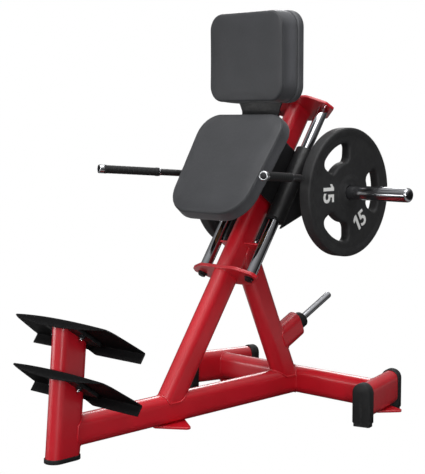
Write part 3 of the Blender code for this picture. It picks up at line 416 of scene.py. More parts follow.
def coated(name, slot, colour, roughness, tint, metallic=0.0, sockets=None, stretch=None, matt=None,
           wear=None, grain=None):
    material, shader = newMaterial(name, colour, roughness, metallic, **(sockets or {}))
    for socket, spread in (("Base Color", tint), ("Roughness", matt)):
        if spread:
            size, detail, low, high = spread
            blended(material, shader, socket, objectNoise(material, size, detail, stretch), low, high)
    if wear:
        rubbed(material, shader, *wear)
    if grain:
        size, detail, depth = grain
        bumped(material, shader, [(objectNoise(material, size, detail, stretch), depth)])
    return material, slot


def syntheticLeather(name, dark, light, side=None):
    # embossed vinyl on foam: pebbled grain, soft sheen, slightly uneven dye
    material, shader = newMaterial(name, dark, 0.52, 0.0, Sheen_Weight=0.12, Sheen_Roughness=0.4)
    where = addNode(material, "ShaderNodeTexCoord").outputs["Object"]
    pebble = addNode(material, "ShaderNodeTexVoronoi", {
        "feature": "SMOOTH_F1", "Scale": millimetres(1.6), "Smoothness": 0.6,
    }, {"Vector": where}).outputs["Distance"]
    blended(material, shader, "Base Color", objectNoise(material, 90, 3.0), dark, light)
    if side:
        # painted light: the side below the seam is a shade lighter than the face, standing in for light from
        # below and in front
        paintedLitBand = addNode(material, "ShaderNodeAttribute", {"attribute_name": "paintedLitBand"}).outputs["Fac"]
        mixed = addNode(material, "ShaderNodeMix", {"data_type": "RGBA", 7: hexColour(side)},
                        {0: paintedLitBand, 6: shader.inputs["Base Color"].links[0].from_socket})
        material.node_tree.links.new(mixed.outputs[2], shader.inputs["Base Color"])
    blended(material, shader, "Roughness", objectNoise(material, 5), 0.48, 0.58)
    bumped(material, shader, [(objectNoise(material, 14, 2.0), 0.0003), (pebble, 0.00012)])
    return material, "upholstery"


def spreadStops(material, factor, stops):
    # a colour ramp of greys from (position, brightness) pairs
    ramp = addNode(material, "ShaderNodeValToRGB", {}, {"Fac": factor})
    while len(ramp.color_ramp.elements) < len(stops):
        ramp.color_ramp.elements.new(0.5)
    for element, (position, bright) in zip(ramp.color_ramp.elements, stops):
        element.position = position
        element.color = (bright, bright, bright, 1)
    return ramp.outputs["Color"]


def paleFloor():
    # painted studio floor: burnt out to white for the lens, a soft grey for the light it returns,
    # and a painted reflection for mirror rays: the floor glows in black and white bands beside the machine
    material, shader = newMaterial("paleFloor", "#858585", 0.85)
    ray = addNode(material, "ShaderNodeLightPath")
    where = addNode(material, "ShaderNodeTexCoord").outputs["Object"]
    across = addNode(material, "ShaderNodeSeparateXYZ", {}, {"Vector": where}).outputs["X"]
    away = addNode(material, "ShaderNodeMath", {"operation": "ABSOLUTE"}, {0: across}).outputs[0]
    share = addNode(material, "ShaderNodeMath", {"operation": "DIVIDE", 1: studio["paintedReflectionReach"]}, {0: away})
    # painted reflection: black and white bands of glow by distance across, seen only by mirror rays
    paintedReflectionBands = spreadStops(material, share.outputs[0], studio["paintedReflectionBands"])
    paintedReflectionGlow = addNode(material, "ShaderNodeEmission", {"Strength": 1.0}, {"Color": paintedReflectionBands})
    dimmed = addNode(material, "ShaderNodeMixShader", {}, {
        "Fac": ray.outputs["Is Glossy Ray"], 1: shader.outputs["BSDF"], 2: paintedReflectionGlow.outputs["Emission"],
    })
    white = addNode(material, "ShaderNodeEmission", {"Color": (1, 1, 1, 1), "Strength": 1.0})
    mixed = addNode(material, "ShaderNodeMixShader", {}, {
        "Fac": ray.outputs["Is Camera Ray"], 1: dimmed.outputs["Shader"], 2: white.outputs["Emission"],
    })
    material.node_tree.links.new(mixed.outputs["Shader"],
                                 material.node_tree.nodes["Material Output"].inputs["Surface"])
    return material


finishes = {kind: coated(**values) for kind, values in coatings.items()}
# the leather's third colour is painted light: the pads' sides below the seam a shade lighter
finishes["leather"] = syntheticLeather("syntheticLeather", "#333437", "#393a3d", "#5c5d61")
finishes["shell"] = syntheticLeather("shellLeather", "#47484b", "#4e4f52")
print("stage: materials")


# Pieces

def stood(name, data, spot=(0, 0, 0)):
    thing = bpy.data.objects.new(name, data)
    bpy.context.scene.collection.objects.link(thing)
    thing.location = spot
    return thing


def makePiece(name, shape, finish, body, replaced="", sharp=35.0, worn=True):
    points, faces = shape
    mesh = bpy.data.meshes.new(name)
    mesh.from_pydata(np.asarray(points).tolist(), [], faces)
    mesh.validate()
    return finished(stood(name, mesh), finish, body, replaced, sharp, worn)


def readArray(items, name, kind, width=1):
    values = np.empty(len(items) * width, kind)
    items.foreach_get(name, values)
    return values.reshape(-1, width) if width > 1 else values


def markRubbed(mesh, start=12.0, full=30.0):
    # an edge's turn comes from the sum of its two face normals: 0 below start degrees, 1 above full
    corners = readArray(mesh.polygons, "loop_total", np.int32)
    faceOfCorner = np.repeat(np.arange(len(mesh.polygons)), corners)
    edgeOfCorner = readArray(mesh.loops, "edge_index", np.int32)
    normals = readArray(mesh.polygons, "normal", np.float32, 3)[faceOfCorner]
    total = np.stack([np.bincount(edgeOfCorner, normals[:, k], len(mesh.edges)) for k in range(3)], 1)
    shared = np.bincount(edgeOfCorner, minlength=len(mesh.edges)) == 2
    angle = 2 * np.arccos(np.clip(np.linalg.norm(total, axis=1) / 2, 0, 1)) * shared
    share = np.clip((np.degrees(angle) - start) / (full - start), 0, 1)
    ends = readArray(mesh.edges, "vertices", np.int32, 2)
    worn = np.zeros(len(mesh.vertices))
    np.maximum.at(worn, ends[:, 0], share)
    np.maximum.at(worn, ends[:, 1], share)
    made = mesh.attributes.get("rubbed") or mesh.attributes.new("rubbed", "FLOAT", "POINT")
    made.data.foreach_set("value", worn.astype(np.float32))


def evaluatedCopy(piece):
    graph = bpy.context.evaluated_depsgraph_get()
    return bpy.data.meshes.new_from_object(piece.evaluated_get(graph))


def finished(piece, finish, body, replaced="", sharp=35.0, worn=True):
    material, slotName = finishes[finish]
    if worn:
        markRubbed(piece.data)
    piece.data.materials.clear()
    piece.data.materials.append(material)
    piece.data.shade_smooth()
    piece.data.set_sharp_from_angle(angle=math.radians(sharp))
    if replaced:
        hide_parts(replaced)
    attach(piece, body)
    return piece


def facedOutwards(mesh, merge=0.0):
    # merges points nearer than merge, then turns the faces outwards
    build = bmesh.new()
    build.from_mesh(mesh)
    if merge:
        bmesh.ops.remove_doubles(build, verts=build.verts, dist=merge)
    bmesh.ops.recalc_face_normals(build, faces=build.faces)
    build.to_mesh(mesh)
    build.free()


# Oval tubes, coped where they meet

def levelFrame(x, y, across):
    # at the floor tubes' height, standing upright
    return localFrame((x, y + machine["shift"], machine["beamHeight"]), across, (0, 0, 1))


tubes = {
    "base_beam": dict(frame=levelFrame(0, 0, (-1, 0, 0)), start=0.0, end=machine["crossbarY"],
                      meetStart=["front_post"], meetEnd=["rear_crossbar"]),
    "rear_crossbar": dict(frame=levelFrame(0, machine["crossbarY"], (0, 1, 0)),
                          start=-machine["footTubeX"], end=machine["footTubeX"],
                          meetStart=["left_foot_tube"], meetEnd=["right_foot_tube"]),
    "front_post": dict(frame=post, depth=machine["deepTube"], start=0.005, end=0.0),
    "main_column": dict(frame=rail, start=0.0, end=1.3055, meetStart=["base_beam"]),
    "rear_leg": dict(frame=leg, start=0.085, end=0.71, meetStart=["base_beam", "rear_crossbar"],
                     meetEnd=["main_column"]),
    "storage_stub": dict(frame=within(leg, (0, 0, 0.257), (1, 0, 0), (0, 0, -1)), start=0.0, end=0.135,
                         meetStart=["rear_leg"]),
}
for sideName, side in sides.items():
    angle = math.radians(side * machine["footSplay"])
    splayed = (-math.cos(angle), -math.sin(angle), 0)
    tubes[sideName + "_foot_tube"] = dict(
        frame=levelFrame(side * machine["footTubeX"], machine["crossbarY"], splayed),
        depth=machine["deepTube"], start=-machine["footTubeReach"], end=machine["footTubeReach"],
    )
for tube in tubes.values():
    tube.setdefault("depth", machine["tubeDepth"])
postFoot = dict(height=0.014, grow=0.003, edge=0.002)


def ovalDistance(points, tube):
    # how far each point lies outside an oval tube, measured square to its axis
    local = (points - tube["frame"][:3, 3]) @ tube["frame"][:3, :3]
    half = (tube["depth"] - machine["tubeWidth"]) / 2
    beyond = np.maximum(np.abs(local[..., 1]) - half, 0)
    return np.hypot(local[..., 0], beyond) - machine["tubeWidth"] / 2


def meeting(tube, outline, neighbours, atStart):
    # where each line of a tube first comes within a hair of a neighbour: halved again and again
    middle = (tube["start"] + tube["end"]) / 2
    far = tube["start"] if atStart else tube["end"]
    base = placed(raised(outline, 0.0), tube["frame"])
    axis = tube["frame"][:3, 2]
    found = np.full(len(outline), far)
    for name in neighbours:
        other = tubes[name]
        tries = middle + (far - middle) * np.linspace(0, 1, 160)
        gaps = ovalDistance(base[:, None] + axis * tries[:, None], other)
        inside = np.argmax(gaps < machine["touch"], 1)
        touches = (gaps < machine["touch"]).any(1)
        inner = np.where(touches, tries[inside], tries[np.argmin(gaps, 1)])
        outer = np.where(touches, tries[np.maximum(inside - 1, 0)], inner)
        for _ in range(18):
            half = (inner + outer) / 2
            near = ovalDistance(base + axis * half[:, None], other) < machine["touch"]
            inner, outer = np.where(near, half, inner), np.where(near, outer, half)
        nearer = inner > found if atStart else inner < found
        found = np.where(nearer, inner, found)
    return found


def tubeRings(tube, outline, rowCount=14):
    # the outline carried along the tube, closed at both ends by rings that follow the cope
    ends = []
    for atStart in (True, False):
        names = tube.get("meetStart" if atStart else "meetEnd", [])
        rings = []
        for share in (1.0, 0.75, 0.5, 0.25, 0.02):
            flat = outline * share
            height = meeting(tube, flat, names, atStart)
            if tube.get("slope") and not atStart:
                height = height + flat[:, 1] * tube["slope"]
            rings.append(raised(flat, height))
        ends.append(rings)
    first, last = ends[0][0], ends[1][0]
    share = np.linspace(0, 1, rowCount)[1:-1, None, None]
    between = first[None] + (last - first)[None] * share
    rings = [placed(ring, tube["frame"]) for ring in ends[0][::-1] + list(between) + ends[1]]
    return rings, placed(first, tube["frame"]), placed(last, tube["frame"])


# the post's top follows the slope of the flange under the upper foot plate
footPlate = dict(
    height=0.4055, spacing=0.1563, sheet=0.004, front=0.207, back=0.257, length=0.150, overhang=0.054,
    bow=0.021, lip=0.030, skirt=0.036, bend=0.006, notch=0.052, notchTop=0.006, notchRise=0.0134,
    widening=((0.0, 0.0), (0.14, 0.42), (0.54, 0.74), (0.93, 1.0), (1.0, 0.96)),   # (share back, share wider)
    flangeSheet=0.010, flange=(0.170, 0.130, 0.020), flangeEdge=0.0012, flangeBack=0.004,
    boltX=0.067, boltY=0.004, nut=(0.017, 0.008), shank=0.005, shankFrom=0.009, shankLength=0.007,
    screwHead=(0.011, 0.0032),
)
lean = math.radians(machine["railTilt"] - machine["postTilt"])
topDrop = (footPlate["sheet"] + footPlate["flangeSheet"] + 2 * machine["gap"]) / math.cos(lean)
tubes["front_post"]["end"] = footPlate["height"] / math.cos(math.radians(machine["postTilt"])) - topDrop
tubes["front_post"]["slope"] = -math.tan(lean)

weld = dict(radius=0.0030, ripple=0.00025, pitch=0.0042, stopFillet=0.0024, gussetFillet=0.0026)


def filletWeld(start, end, radius, up, steps):
    # a straight bead in a corner, between two points of the rail's frame
    return swept(placed(np.linspace(start, end, steps), rail), circle(radius, 8), up=up)


def weldBead(path, outward):
    # a round bead laid along a joint, swelling a little at every pass of the torch
    count = max(60, int(outlineLength(path) / weld["pitch"] * 3))
    both = resampled(np.concatenate([path, outward], 1), count)
    path, outward = both[:, :3], both[:, 3:]
    swell = weld["radius"] + weld["ripple"] * np.sin(np.arange(count) * turn / 3)
    ring = circle(1.0, 8)[None] * swell[:, None, None]
    return swept(path, ring, closedPath=True, up=unit(outward))


def buildTubes():
    beads = []
    for name, tube in tubes.items():
        outline = ovalOutline(machine["tubeWidth"], tube["depth"])
        rings, first, last = tubeRings(tube, outline)
        if name == "front_post":
            floor = postFoot["height"] + machine["gap"]
            rings = [np.stack([r[:, 0], r[:, 1], np.maximum(r[:, 2], floor)], 1) for r in rings]
        makePiece(name + "_surface", shell(rings), "red", "frame", name, 40, False)
        outward = raised(outlineNormals(outline), 0.0) @ tube["frame"][:3, :3].T
        if tube.get("meetStart"):
            beads.append(weldBead(first, outward))
        if tube.get("meetEnd"):
            beads.append(weldBead(last, outward))
    makePiece("frame_welds", joined(*beads), "red", "frame", sharp=60, worn=False)


buildTubes()
print("stage: tubes")


# Rubber caps of the foot tubes and the post's foot

cap = dict(
    width=0.068, height=0.150, length=0.034, round=0.007, step=0.004, stepHeight=0.014, reach=0.156,
    dome=0.009, domeFrom=0.020, flat=0.0015, face=(0.003, 0.008, 0.014, 0.020), narrowest=0.027,
    mouth=((0.0035, 0.0), (0.0010, 0.0008), (0.0, 0.003)),      # (drawn in, along) round the open rim
)


def capOutline(inset):
    # an arch on a narrower foot, drawn in by inset, about the tube's centre line
    half = cap["width"] / 2 - inset
    shoulder = cap["height"] - machine["beamHeight"] - cap["width"] / 2
    floor = -machine["beamHeight"]
    arch = around(half, np.linspace(0, math.pi, 25)) + [0, shoulder]
    foot = half - cap["step"]
    top, under = floor + cap["stepHeight"], floor + cap["stepHeight"] - cap["step"]
    low = np.array([(-half, top), (-foot, under), (-foot, floor), (0, floor),
                    (foot, floor), (foot, under), (half, top)])
    return np.concatenate([arch, low])


def domed(outline):
    # how far the face bulges: 1 in the middle, 0 at the sides, the crown and the foot
    across = np.clip(np.abs(outline[:, 0]) / (cap["width"] / 2), 0, 1)
    height = np.clip((outline[:, 1] + machine["beamHeight"] - cap["stepHeight"]) / 0.05, 0, 1)
    crown = np.clip((cap["height"] - machine["beamHeight"] - outline[:, 1]) / 0.03, 0, 1)
    return (1 - across ** 2) * np.sin(height * math.pi / 2) * np.sin(crown * math.pi / 2)


def buildCaps():
    for sideName in sides:
        place = tubes[sideName + "_foot_tube"]["frame"]
        for endName, outwards in (("front", -1), ("rear", 1)):
            # rings from the open mouth round the rim to the closed, slightly bulged face
            inner, outer = cap["reach"] - cap["length"], cap["reach"] - cap["flat"]
            stations = [(inset, inner + along) for inset, along in cap["mouth"]]
            for a in np.linspace(0, math.pi / 2, 7):
                stations.append((cap["round"] * (1 - math.cos(a)), outer - cap["round"] * (1 - math.sin(a))))
            stations += [(cap["round"] + k, outer) for k in cap["face"]]
            rings = []
            for inset, along in stations:
                outline = capOutline(min(inset, cap["narrowest"]))
                reach = along + cap["dome"] * domed(outline) * (along > inner + cap["domeFrom"])
                rings.append(raised(outline, outwards * reach))
            if outwards < 0:
                rings = rings[::-1]
            makePiece(f"{sideName}_{endName}_cap_moulding", shell(placed(rings, place)), "rubber", "frame",
                      f"{sideName}_{endName}_cap", sharp=50)
    foot = ovalOutline(machine["tubeWidth"], machine["deepTube"], 16, 2, postFoot["grow"])
    makePiece("post_foot_moulding", sheetPlate(foot, 0.0, postFoot["height"], postFoot["edge"], world),
              "rubber", "frame", "front_post_foot")


buildCaps()


# Foot plates

def footPlateFrame(level):
    up = footPlate["height"] / math.cos(math.radians(machine["postTilt"])) - level * footPlate["spacing"]
    made = rail.copy()
    made[:3, 3] = placed([(0, 0, up)], post)[0]
    return made


def footPlateSurface(columns=72):
    # rows from the lip's lower edge over the tread to the skirt's lower edge; the front row bows forward
    bend, length, lip, skirt = (footPlate[name] for name in ("bend", "length", "lip", "skirt"))
    turnIn = [(bend * (1 - math.cos(a)), -bend * (1 - math.sin(a))) for a in np.linspace(0, math.pi / 2, 6)]
    rows = [(0.0, -lip, "lip"), (0.0, -lip * 0.6, "lip")]
    rows += [(back, drop, "lip" if k == 0 else "tread") for k, (back, drop) in enumerate(turnIn)]
    rows += [(share * length, 0.0, "tread") for share in (0.10, 0.2, 0.32, 0.46, 0.60, 0.74, 0.88)]
    rows += [(length - back, drop, "tread") for back, drop in turnIn[::-1]]
    rows += [(length, -skirt * 0.6, "skirt"), (length, -skirt, "skirt")]
    spread = np.linspace(-1, 1, columns + 1)
    at, wider = np.transpose(footPlate["widening"])
    points = []
    for back, drop, kind in rows:
        share = np.interp(back, at * length, wider)
        half = footPlate["front"] + (footPlate["back"] - footPlate["front"]) * share
        x = spread * half
        bow = footPlate["bow"] * (1 - spread ** 2) * (1 - back / length)
        z = np.full(columns + 1, drop)
        if kind == "lip" and drop < -bend:
            # the lip fades out towards the plate's corners
            part = (drop + bend) / (lip - bend)
            z = np.minimum(-bend + part * (lip - bend) * (1 - spread ** 2), -bend + part * 0.001)
        if kind == "skirt" and drop == -skirt:
            # a notch in the skirt clears the post
            notch, notchTop = footPlate["notch"], footPlate["notchTop"]
            z = z + footPlate["notchRise"] * np.clip((notch - np.abs(x)) / (notch - notchTop), 0, 1)
        points.append(np.stack([x, back - bow - footPlate["overhang"], z], 1))
    count = columns + 1
    row = np.arange(len(rows) - 1)[:, None]
    column = np.arange(columns)[None]
    first = row * count + column
    quads = np.stack([first, first + 1, first + count + 1, first + count], -1).reshape(-1, 4)
    return np.concatenate(points), quads.tolist()


def buildFootPlates():
    fasteners, nuts = [], []
    for level, name in enumerate(("upper", "lower")):
        place = footPlateFrame(level)
        plate = makePiece(name + "_foot_tread", moved(footPlateSurface(), place), "tread", "frame",
                          name + "_foot_plate")
        thick = plate.modifiers.new("sheet", "SOLIDIFY")
        thick.thickness, thick.offset, thick.use_even_offset = footPlate["sheet"], -1.0, True
        rim = plate.modifiers.new("rim", "BEVEL")
        rim.width, rim.segments, rim.limit_method = 0.0007, 2, "ANGLE"
        rim.angle_limit = math.radians(60)
        plate.data = evaluatedCopy(plate)
        plate.modifiers.clear()
        markRubbed(plate.data)
        centre = footPlate["length"] / 2 - footPlate["overhang"] - footPlate["flangeBack"]
        low = -footPlate["sheet"] - machine["gap"] - footPlate["flangeSheet"]
        flange = sheetPlate(box2d(*footPlate["flange"], (0, centre)), low, low + footPlate["flangeSheet"],
                            footPlate["flangeEdge"], place)
        makePiece(name + "_flange_plate", flange, "black", "frame", name + "_foot_flange")
        for side in sides.values():
            x, y = side * footPlate["boltX"], footPlate["boltY"]
            below = within(place, (x, y, low), (1, 0, 0), (0, -1, 0))
            nuts.append(hexHead(below, *footPlate["nut"]))
            shank = within(below, (0, 0, footPlate["shankFrom"]))
            fasteners += [turnedBar(footPlate["shank"], 0, footPlate["shankLength"], shank, 24, (0, 0.001)),
                          screwHead(within(place, (x, y, 0.0)), *footPlate["screwHead"])]
    makePiece("foot_plate_bolts", joined(*fasteners), "zinc", "frame")
    makePiece("foot_plate_nuts", joined(*nuts), "blackBolt", "frame")


buildFootPlates()
print("stage: foot plates and caps")


# Column, rods and their end plates

rods = dict(diameter=0.040, x=0.110, bottom=0.6253, top=1.3057, edge=0.001, bolt=(0.024, 0.010),
            capScrew=(0.0115, 0.0062))
rodPlates = {
    "upper": dict(reach=0.158, front=-0.080, back=0.070, low=1.306, high=1.316),
    "lower": dict(reach=0.147, front=-0.058, back=0.063, low=0.613, high=0.625),
}
anchors = {"beam": dict(place=world, width=0.212, length=0.144, along=0.458, low=0.028, high=0.036)}
for sideName, side in sides.items():
    splay = math.radians(side * machine["footSplay"])
    place = localFrame(tubes[sideName + "_foot_tube"]["frame"][:3, 3],
                       (math.cos(splay), math.sin(splay), 0), (-math.sin(splay), math.cos(splay), 0))
    anchors[sideName] = dict(place=place, width=0.166, length=0.114, along=0.048, low=-0.067, high=-0.059)


def buildColumn():
    for level, size in rodPlates.items():
        # the bow's right half from front to back: corners at shares of its reach, front and back
        r, f, b = size["reach"], size["front"], size["back"]
        half = [(0.54 * r, f, 0.040), (0.93 * r, 0.48 * f, 0.022), (r, 0.0, 0.012),
                (0.60 * r, 0.78 * b, 0.040), (0.19 * r, b, 0.020)]
        outline = roundedOutline([(-x, y, radius) for x, y, radius in half[::-1]] + half, 10)
        plate = sheetPlate(outline, size["low"], size["high"], 0.0016, rail)
        makePiece(level + "_rod_plate_surface", plate, "red", "frame", level + "_rod_plate")
    bolts = []
    for sideName, side in sides.items():
        x = side * rods["x"]
        bar = turnedBar(rods["diameter"] / 2, rods["bottom"], rods["top"], within(rail, (x, 0, 0)), 72,
                        (rods["edge"], rods["edge"]))
        makePiece(sideName + "_rod_chrome", bar, "chrome", "frame", sideName + "_guide_rod")
        below = within(rail, (x, 0, rodPlates["lower"]["low"]), (1, 0, 0), (0, -1, 0))
        above = within(rail, (x, 0, rodPlates["upper"]["high"]))
        bolts += [hexHead(below, *rods["bolt"]), screwHead(above, *rods["capScrew"])]
    makePiece("rod_bolts", joined(*bolts), "blackBolt", "frame")
    for name, size in anchors.items():
        w, l, a = size["width"] / 2, size["length"] / 2, size["along"]
        outline = roundedOutline([(0, a - l, 0.015), (w, a, 0.015), (0, a + l, 0.015), (-w, a, 0.015)], 8)
        plate = sheetPlate(outline, size["low"], size["high"], 0.0015, size["place"])
        makePiece(name + "_anchor_surface", plate, "red", "frame", name + "_anchor_plate")


stop = dict(top=0.763, sheet=0.006, buffer=0.020, diameter=0.026, length=0.044, n=0.012, x=0.075,
            corner=0.006, edge=0.0012, waist=0.0015, waistHeight=0.010,
            beadOut=0.0005, beadEnds=(0.002, 0.014))


def buildStops():
    beads = []
    for sideName, side in sides.items():
        end = stop["x"] + stop["diameter"] / 2
        seat = stop["top"] - stop["buffer"]
        tab = box2d(end, stop["length"], stop["corner"], (side * end / 2, stop["n"]))
        makePiece(sideName + "_stop_tab", sheetPlate(tab, seat - stop["sheet"], seat, stop["edge"], rail),
                  "red", "frame", sideName + "_stop_bracket")
        edge, low = stop["diameter"] / 2, seat + machine["gap"]
        buffer = turnedSolid([
            (machine["pole"], low, 0), (edge, low, 0.001),
            (edge - stop["waist"], seat + stop["waistHeight"], 0.004),
            (edge, stop["top"], 0.004), (machine["pole"], stop["top"], 0),
        ], within(rail, (side * stop["x"], stop["n"], 0)), 40)
        makePiece(sideName + "_stop_pad", buffer, "rubber", "frame", sideName + "_stop_buffer")
        x = side * (machine["tubeWidth"] / 2 + stop["beadOut"])
        front = stop["n"] - stop["length"] / 2 + stop["beadEnds"][0]
        back = stop["n"] + stop["length"] / 2 - stop["beadEnds"][1]
        for z in (seat - stop["sheet"], seat):
            beads.append(filletWeld((x, front, z), (x, back, z), weld["stopFillet"], rail[:3, 2], 24))
    makePiece("stop_welds", joined(*beads), "red", "frame", sharp=60, worn=False)


holder = dict(length=0.135, collar=0.060, collarLength=0.034, collarEdge=0.004, peg=0.025, pegLength=0.214,
              pegEdge=0.0055)


def buildHolder():
    place = tubes["storage_stub"]["frame"]
    start = holder["length"] + machine["gap"]
    pin = holder["peg"] / 2
    collar = turnedRing(pin + machine["gap"], holder["collar"] / 2, start, start + holder["collarLength"],
                        holder["collarEdge"], place, 64)
    makePiece("storage_collar_moulding", collar, "rubber", "frame", "storage_collar")
    peg = turnedBar(pin, start, holder["length"] + holder["pegLength"], place, 48, (0, holder["pegEdge"]), 8)
    makePiece("storage_peg_chrome", peg, "chrome", "frame", "storage_peg")


buildColumn()
buildStops()
buildHolder()
print("stage: column, stops and holder")


# Carriage: bearings, plates, gussets and the bar between the horns

bearing = dict(x=0.110, outer=0.032, inner=0.0265, bore=0.0204, bottom=0.845, top=1.130, lip=0.004,
               seal=0.0298, recess=0.0008)
sidePlate = dict(x=0.0747, sheet=0.006, tongueFront=-0.008, tongueBack=0.035, foot=0.7633, shoulder=0.900,
                 top=1.120, front=-0.1631, back=0.0617)
crossPlate = dict(n=0.066, half=0.1237, low=0.900, high=1.120, sheet=0.008)
horn = dict(
    along=1.0416, n=0.122, boss=0.050, radius=0.0245, start=0.2273, end=0.526, rounding=0.012,
    bar=0.0225, barEnd=0.2187, collar=0.0475, collarLow=0.219, collarHigh=0.227, edge=0.0012,
    gussetX=0.124, gussetSheet=0.008, gussetN=0.0235, gussetLow=0.824, gussetHigh=1.115,
    beads=((0.0, 0.0287), (0.008, 0.0243)),         # (outwards from the gusset's inner face, rearwards)
)


def tangentPoint(corner, centre, radius, way):
    offset = np.subtract(centre, corner)
    distance = np.linalg.norm(offset)
    spread = math.asin(radius / distance)
    reach = distance * math.cos(spread)
    angle = math.atan2(offset[1], offset[0]) + way * spread
    return np.add(corner, (reach * math.cos(angle), reach * math.sin(angle)))


def buildBearing(sideName, side):
    # a housing with a bronze bush in it and a wiper seal at each end
    gap, bottom, top = machine["gap"], bearing["bottom"], bearing["top"]
    bore, body = bearing["bore"], bearing["inner"] - gap
    low, high = bottom - bearing["lip"], top - bearing["lip"]
    place = within(rail, (side * bearing["x"], 0, 0))
    housing = turnedRing(bearing["inner"], bearing["outer"], bottom, top, 0.0015, place, 80)
    makePiece(sideName + "_housing_tube", housing, "black", "carriage", sideName + "_bearing_housing")
    bush = roundedOutline([(x, y, 0.0006) for x, y in (
        (bore, low + 0.002), (body, low + 0.002), (body, high), (bore, high))], 3)
    makePiece(sideName + "_bush_bronze", turned(bush, place, 72, True), "bronze", "carriage",
              sideName + "_linear_bush")
    seals = [turnedRing(bore, body, high + gap, top - bearing["recess"], 0.0005, place, 64),
             turnedRing(bore, bearing["seal"], low, bottom - gap, 0.0012, place, 64)]
    makePiece(sideName + "_wiper_seals", joined(*seals), "rubber", "carriage")


def buildCarriage():
    beads = []
    for sideName, side in sides.items():
        buildBearing(sideName, side)
        size = sidePlate
        outline = roundedOutline([
            (size["tongueFront"], size["foot"], 0.004), (size["tongueBack"], size["foot"], 0.004),
            (size["tongueBack"], size["shoulder"], 0.008), (size["back"], size["shoulder"], 0.004),
            (size["back"], size["top"], 0.004), (size["front"], size["top"], 0.010),
            (size["front"], size["shoulder"], 0.010), (size["tongueFront"], size["shoulder"], 0.006),
        ], 6)
        flank = within(rail, (side * size["x"], 0, 0), (0, 1, 0), (0, 0, 1))
        plate = sheetPlate(outline, -size["sheet"] / 2, size["sheet"] / 2, 0.0010, flank)
        makePiece(sideName + "_side_plate_surface", plate, "black", "carriage", sideName + "_side_plate")
        centre = (horn["n"], horn["along"])
        foot, head = (horn["gussetN"], horn["gussetLow"]), (horn["gussetN"], horn["gussetHigh"])
        first = tangentPoint(foot, centre, horn["boss"], -1) - centre
        last = tangentPoint(head, centre, horn["boss"], 1) - centre
        angle = np.linspace(math.atan2(first[1], first[0]), math.atan2(last[1], last[0]), 40)
        outline = np.concatenate([[head, foot], around(horn["boss"], angle) + centre])
        half = horn["gussetSheet"] / 2
        flank = within(rail, (side * (horn["gussetX"] + half), 0, 0), (0, 1, 0), (0, 0, 1))
        gusset = sheetPlate(outline, -half, half, horn["edge"], flank)
        makePiece(sideName + "_gusset_surface", gusset, "black", "carriage", sideName + "_horn_gusset")
        outward = within(rail, (0, horn["n"], horn["along"]), (0, 1, 0), (0, 0, side))
        collar = turnedBar(horn["collar"], horn["collarLow"], horn["collarHigh"], outward, 96,
                           (horn["edge"], horn["edge"]))
        makePiece(sideName + "_collar_surface", collar, "black", "carriage", sideName + "_horn_collar")
        sleeve = turnedBar(horn["radius"], horn["start"], horn["end"], outward, 96,
                           (0.0003, horn["rounding"]), 10)
        makePiece(sideName + "_horn_chrome", sleeve, "sleeve", "carriage", sideName + "_weight_horn")
        ring = placed(raised(circle(horn["bar"], 90), 0.0), outward)
        spread = ring - outward[:3, 3]
        for x in (horn["collarLow"], horn["gussetX"] + horn["gussetSheet"], horn["gussetX"]):
            beads.append(weldBead(ring + outward[:3, 2] * x, spread))
        low, high = horn["gussetLow"] + 0.02, horn["gussetHigh"] - 0.004
        for offset, n in horn["beads"]:
            x = side * (horn["gussetX"] + offset)
            beads.append(filletWeld((x, n, low), (x, n, high), weld["gussetFillet"], rail[:3, 0] * side, 60))
    middle = (crossPlate["low"] + crossPlate["high"]) / 2
    back = within(rail, (0, crossPlate["n"], middle), (1, 0, 0), (0, 0, 1))
    outline = box2d(2 * crossPlate["half"], crossPlate["high"] - crossPlate["low"], 0.004)
    half = crossPlate["sheet"] / 2
    makePiece("cross_plate_surface", sheetPlate(outline, -half, half, 0.001, back), "black", "carriage",
              "rear_cross_plate")
    across = within(rail, (0, horn["n"], horn["along"]), (0, 1, 0), (0, 0, 1))
    bar = turnedBar(horn["bar"], -horn["barEnd"], horn["barEnd"], across, 72)
    makePiece("horn_bar_surface", bar, "black", "carriage", "horn_crossbar")
    makePiece("carriage_welds", joined(*beads), "black", "carriage", sharp=60, worn=False)


buildCarriage()
print("stage: carriage")


# Weight plates: a moulded disc with three curved grip slots and raised numerals

disc = dict(
    radius=0.225, thickness=0.047, web=0.041, bore=0.0253, hub=0.048, rim=0.016, slope=0.014, start=0.2273,
    slotRadius=0.140, slotWidth=0.066, slotLength=0.138, slotCorner=0.022, slotEdge=0.010, bend=0.030,
    sectors=((0, -59, 59), (118, 59, 180), (242, 180, 301)),
    arcPoints=48, sidePoints=20,
    numeral="5", numeralSize=0.078, numeralRadius=0.117, numeralHeight=0.0007, numeralGap=0.008,
    numerals=((-59, 31), (180, -90)),
)


def slotLoop(grow):
    # the slot's outline, unrolled: four runs between the middles of its rounded corners
    half, out = disc["slotLength"] / 2 + grow, disc["slotWidth"] / 2 + grow
    corner = disc["slotCorner"] + grow
    loop = box2d(2 * half, 2 * out, corner, steps=12)
    middles = [6 + 13 * k for k in range(4)]
    runs = []
    for k, count in enumerate((disc["arcPoints"], disc["sidePoints"]) * 2):
        first, last = middles[k], middles[(k + 1) % 4]
        part = loop[first:last + 1] if last > first else np.concatenate([loop[first:], loop[:last + 1]])
        length = np.concatenate([[0], np.cumsum(np.linalg.norm(np.diff(part, axis=0), axis=1))])
        at = np.linspace(0, length[-1], count, endpoint=False)
        runs.append(np.stack([np.interp(at, length, part[:, j]) for j in (0, 1)], 1))
    return np.concatenate(runs)


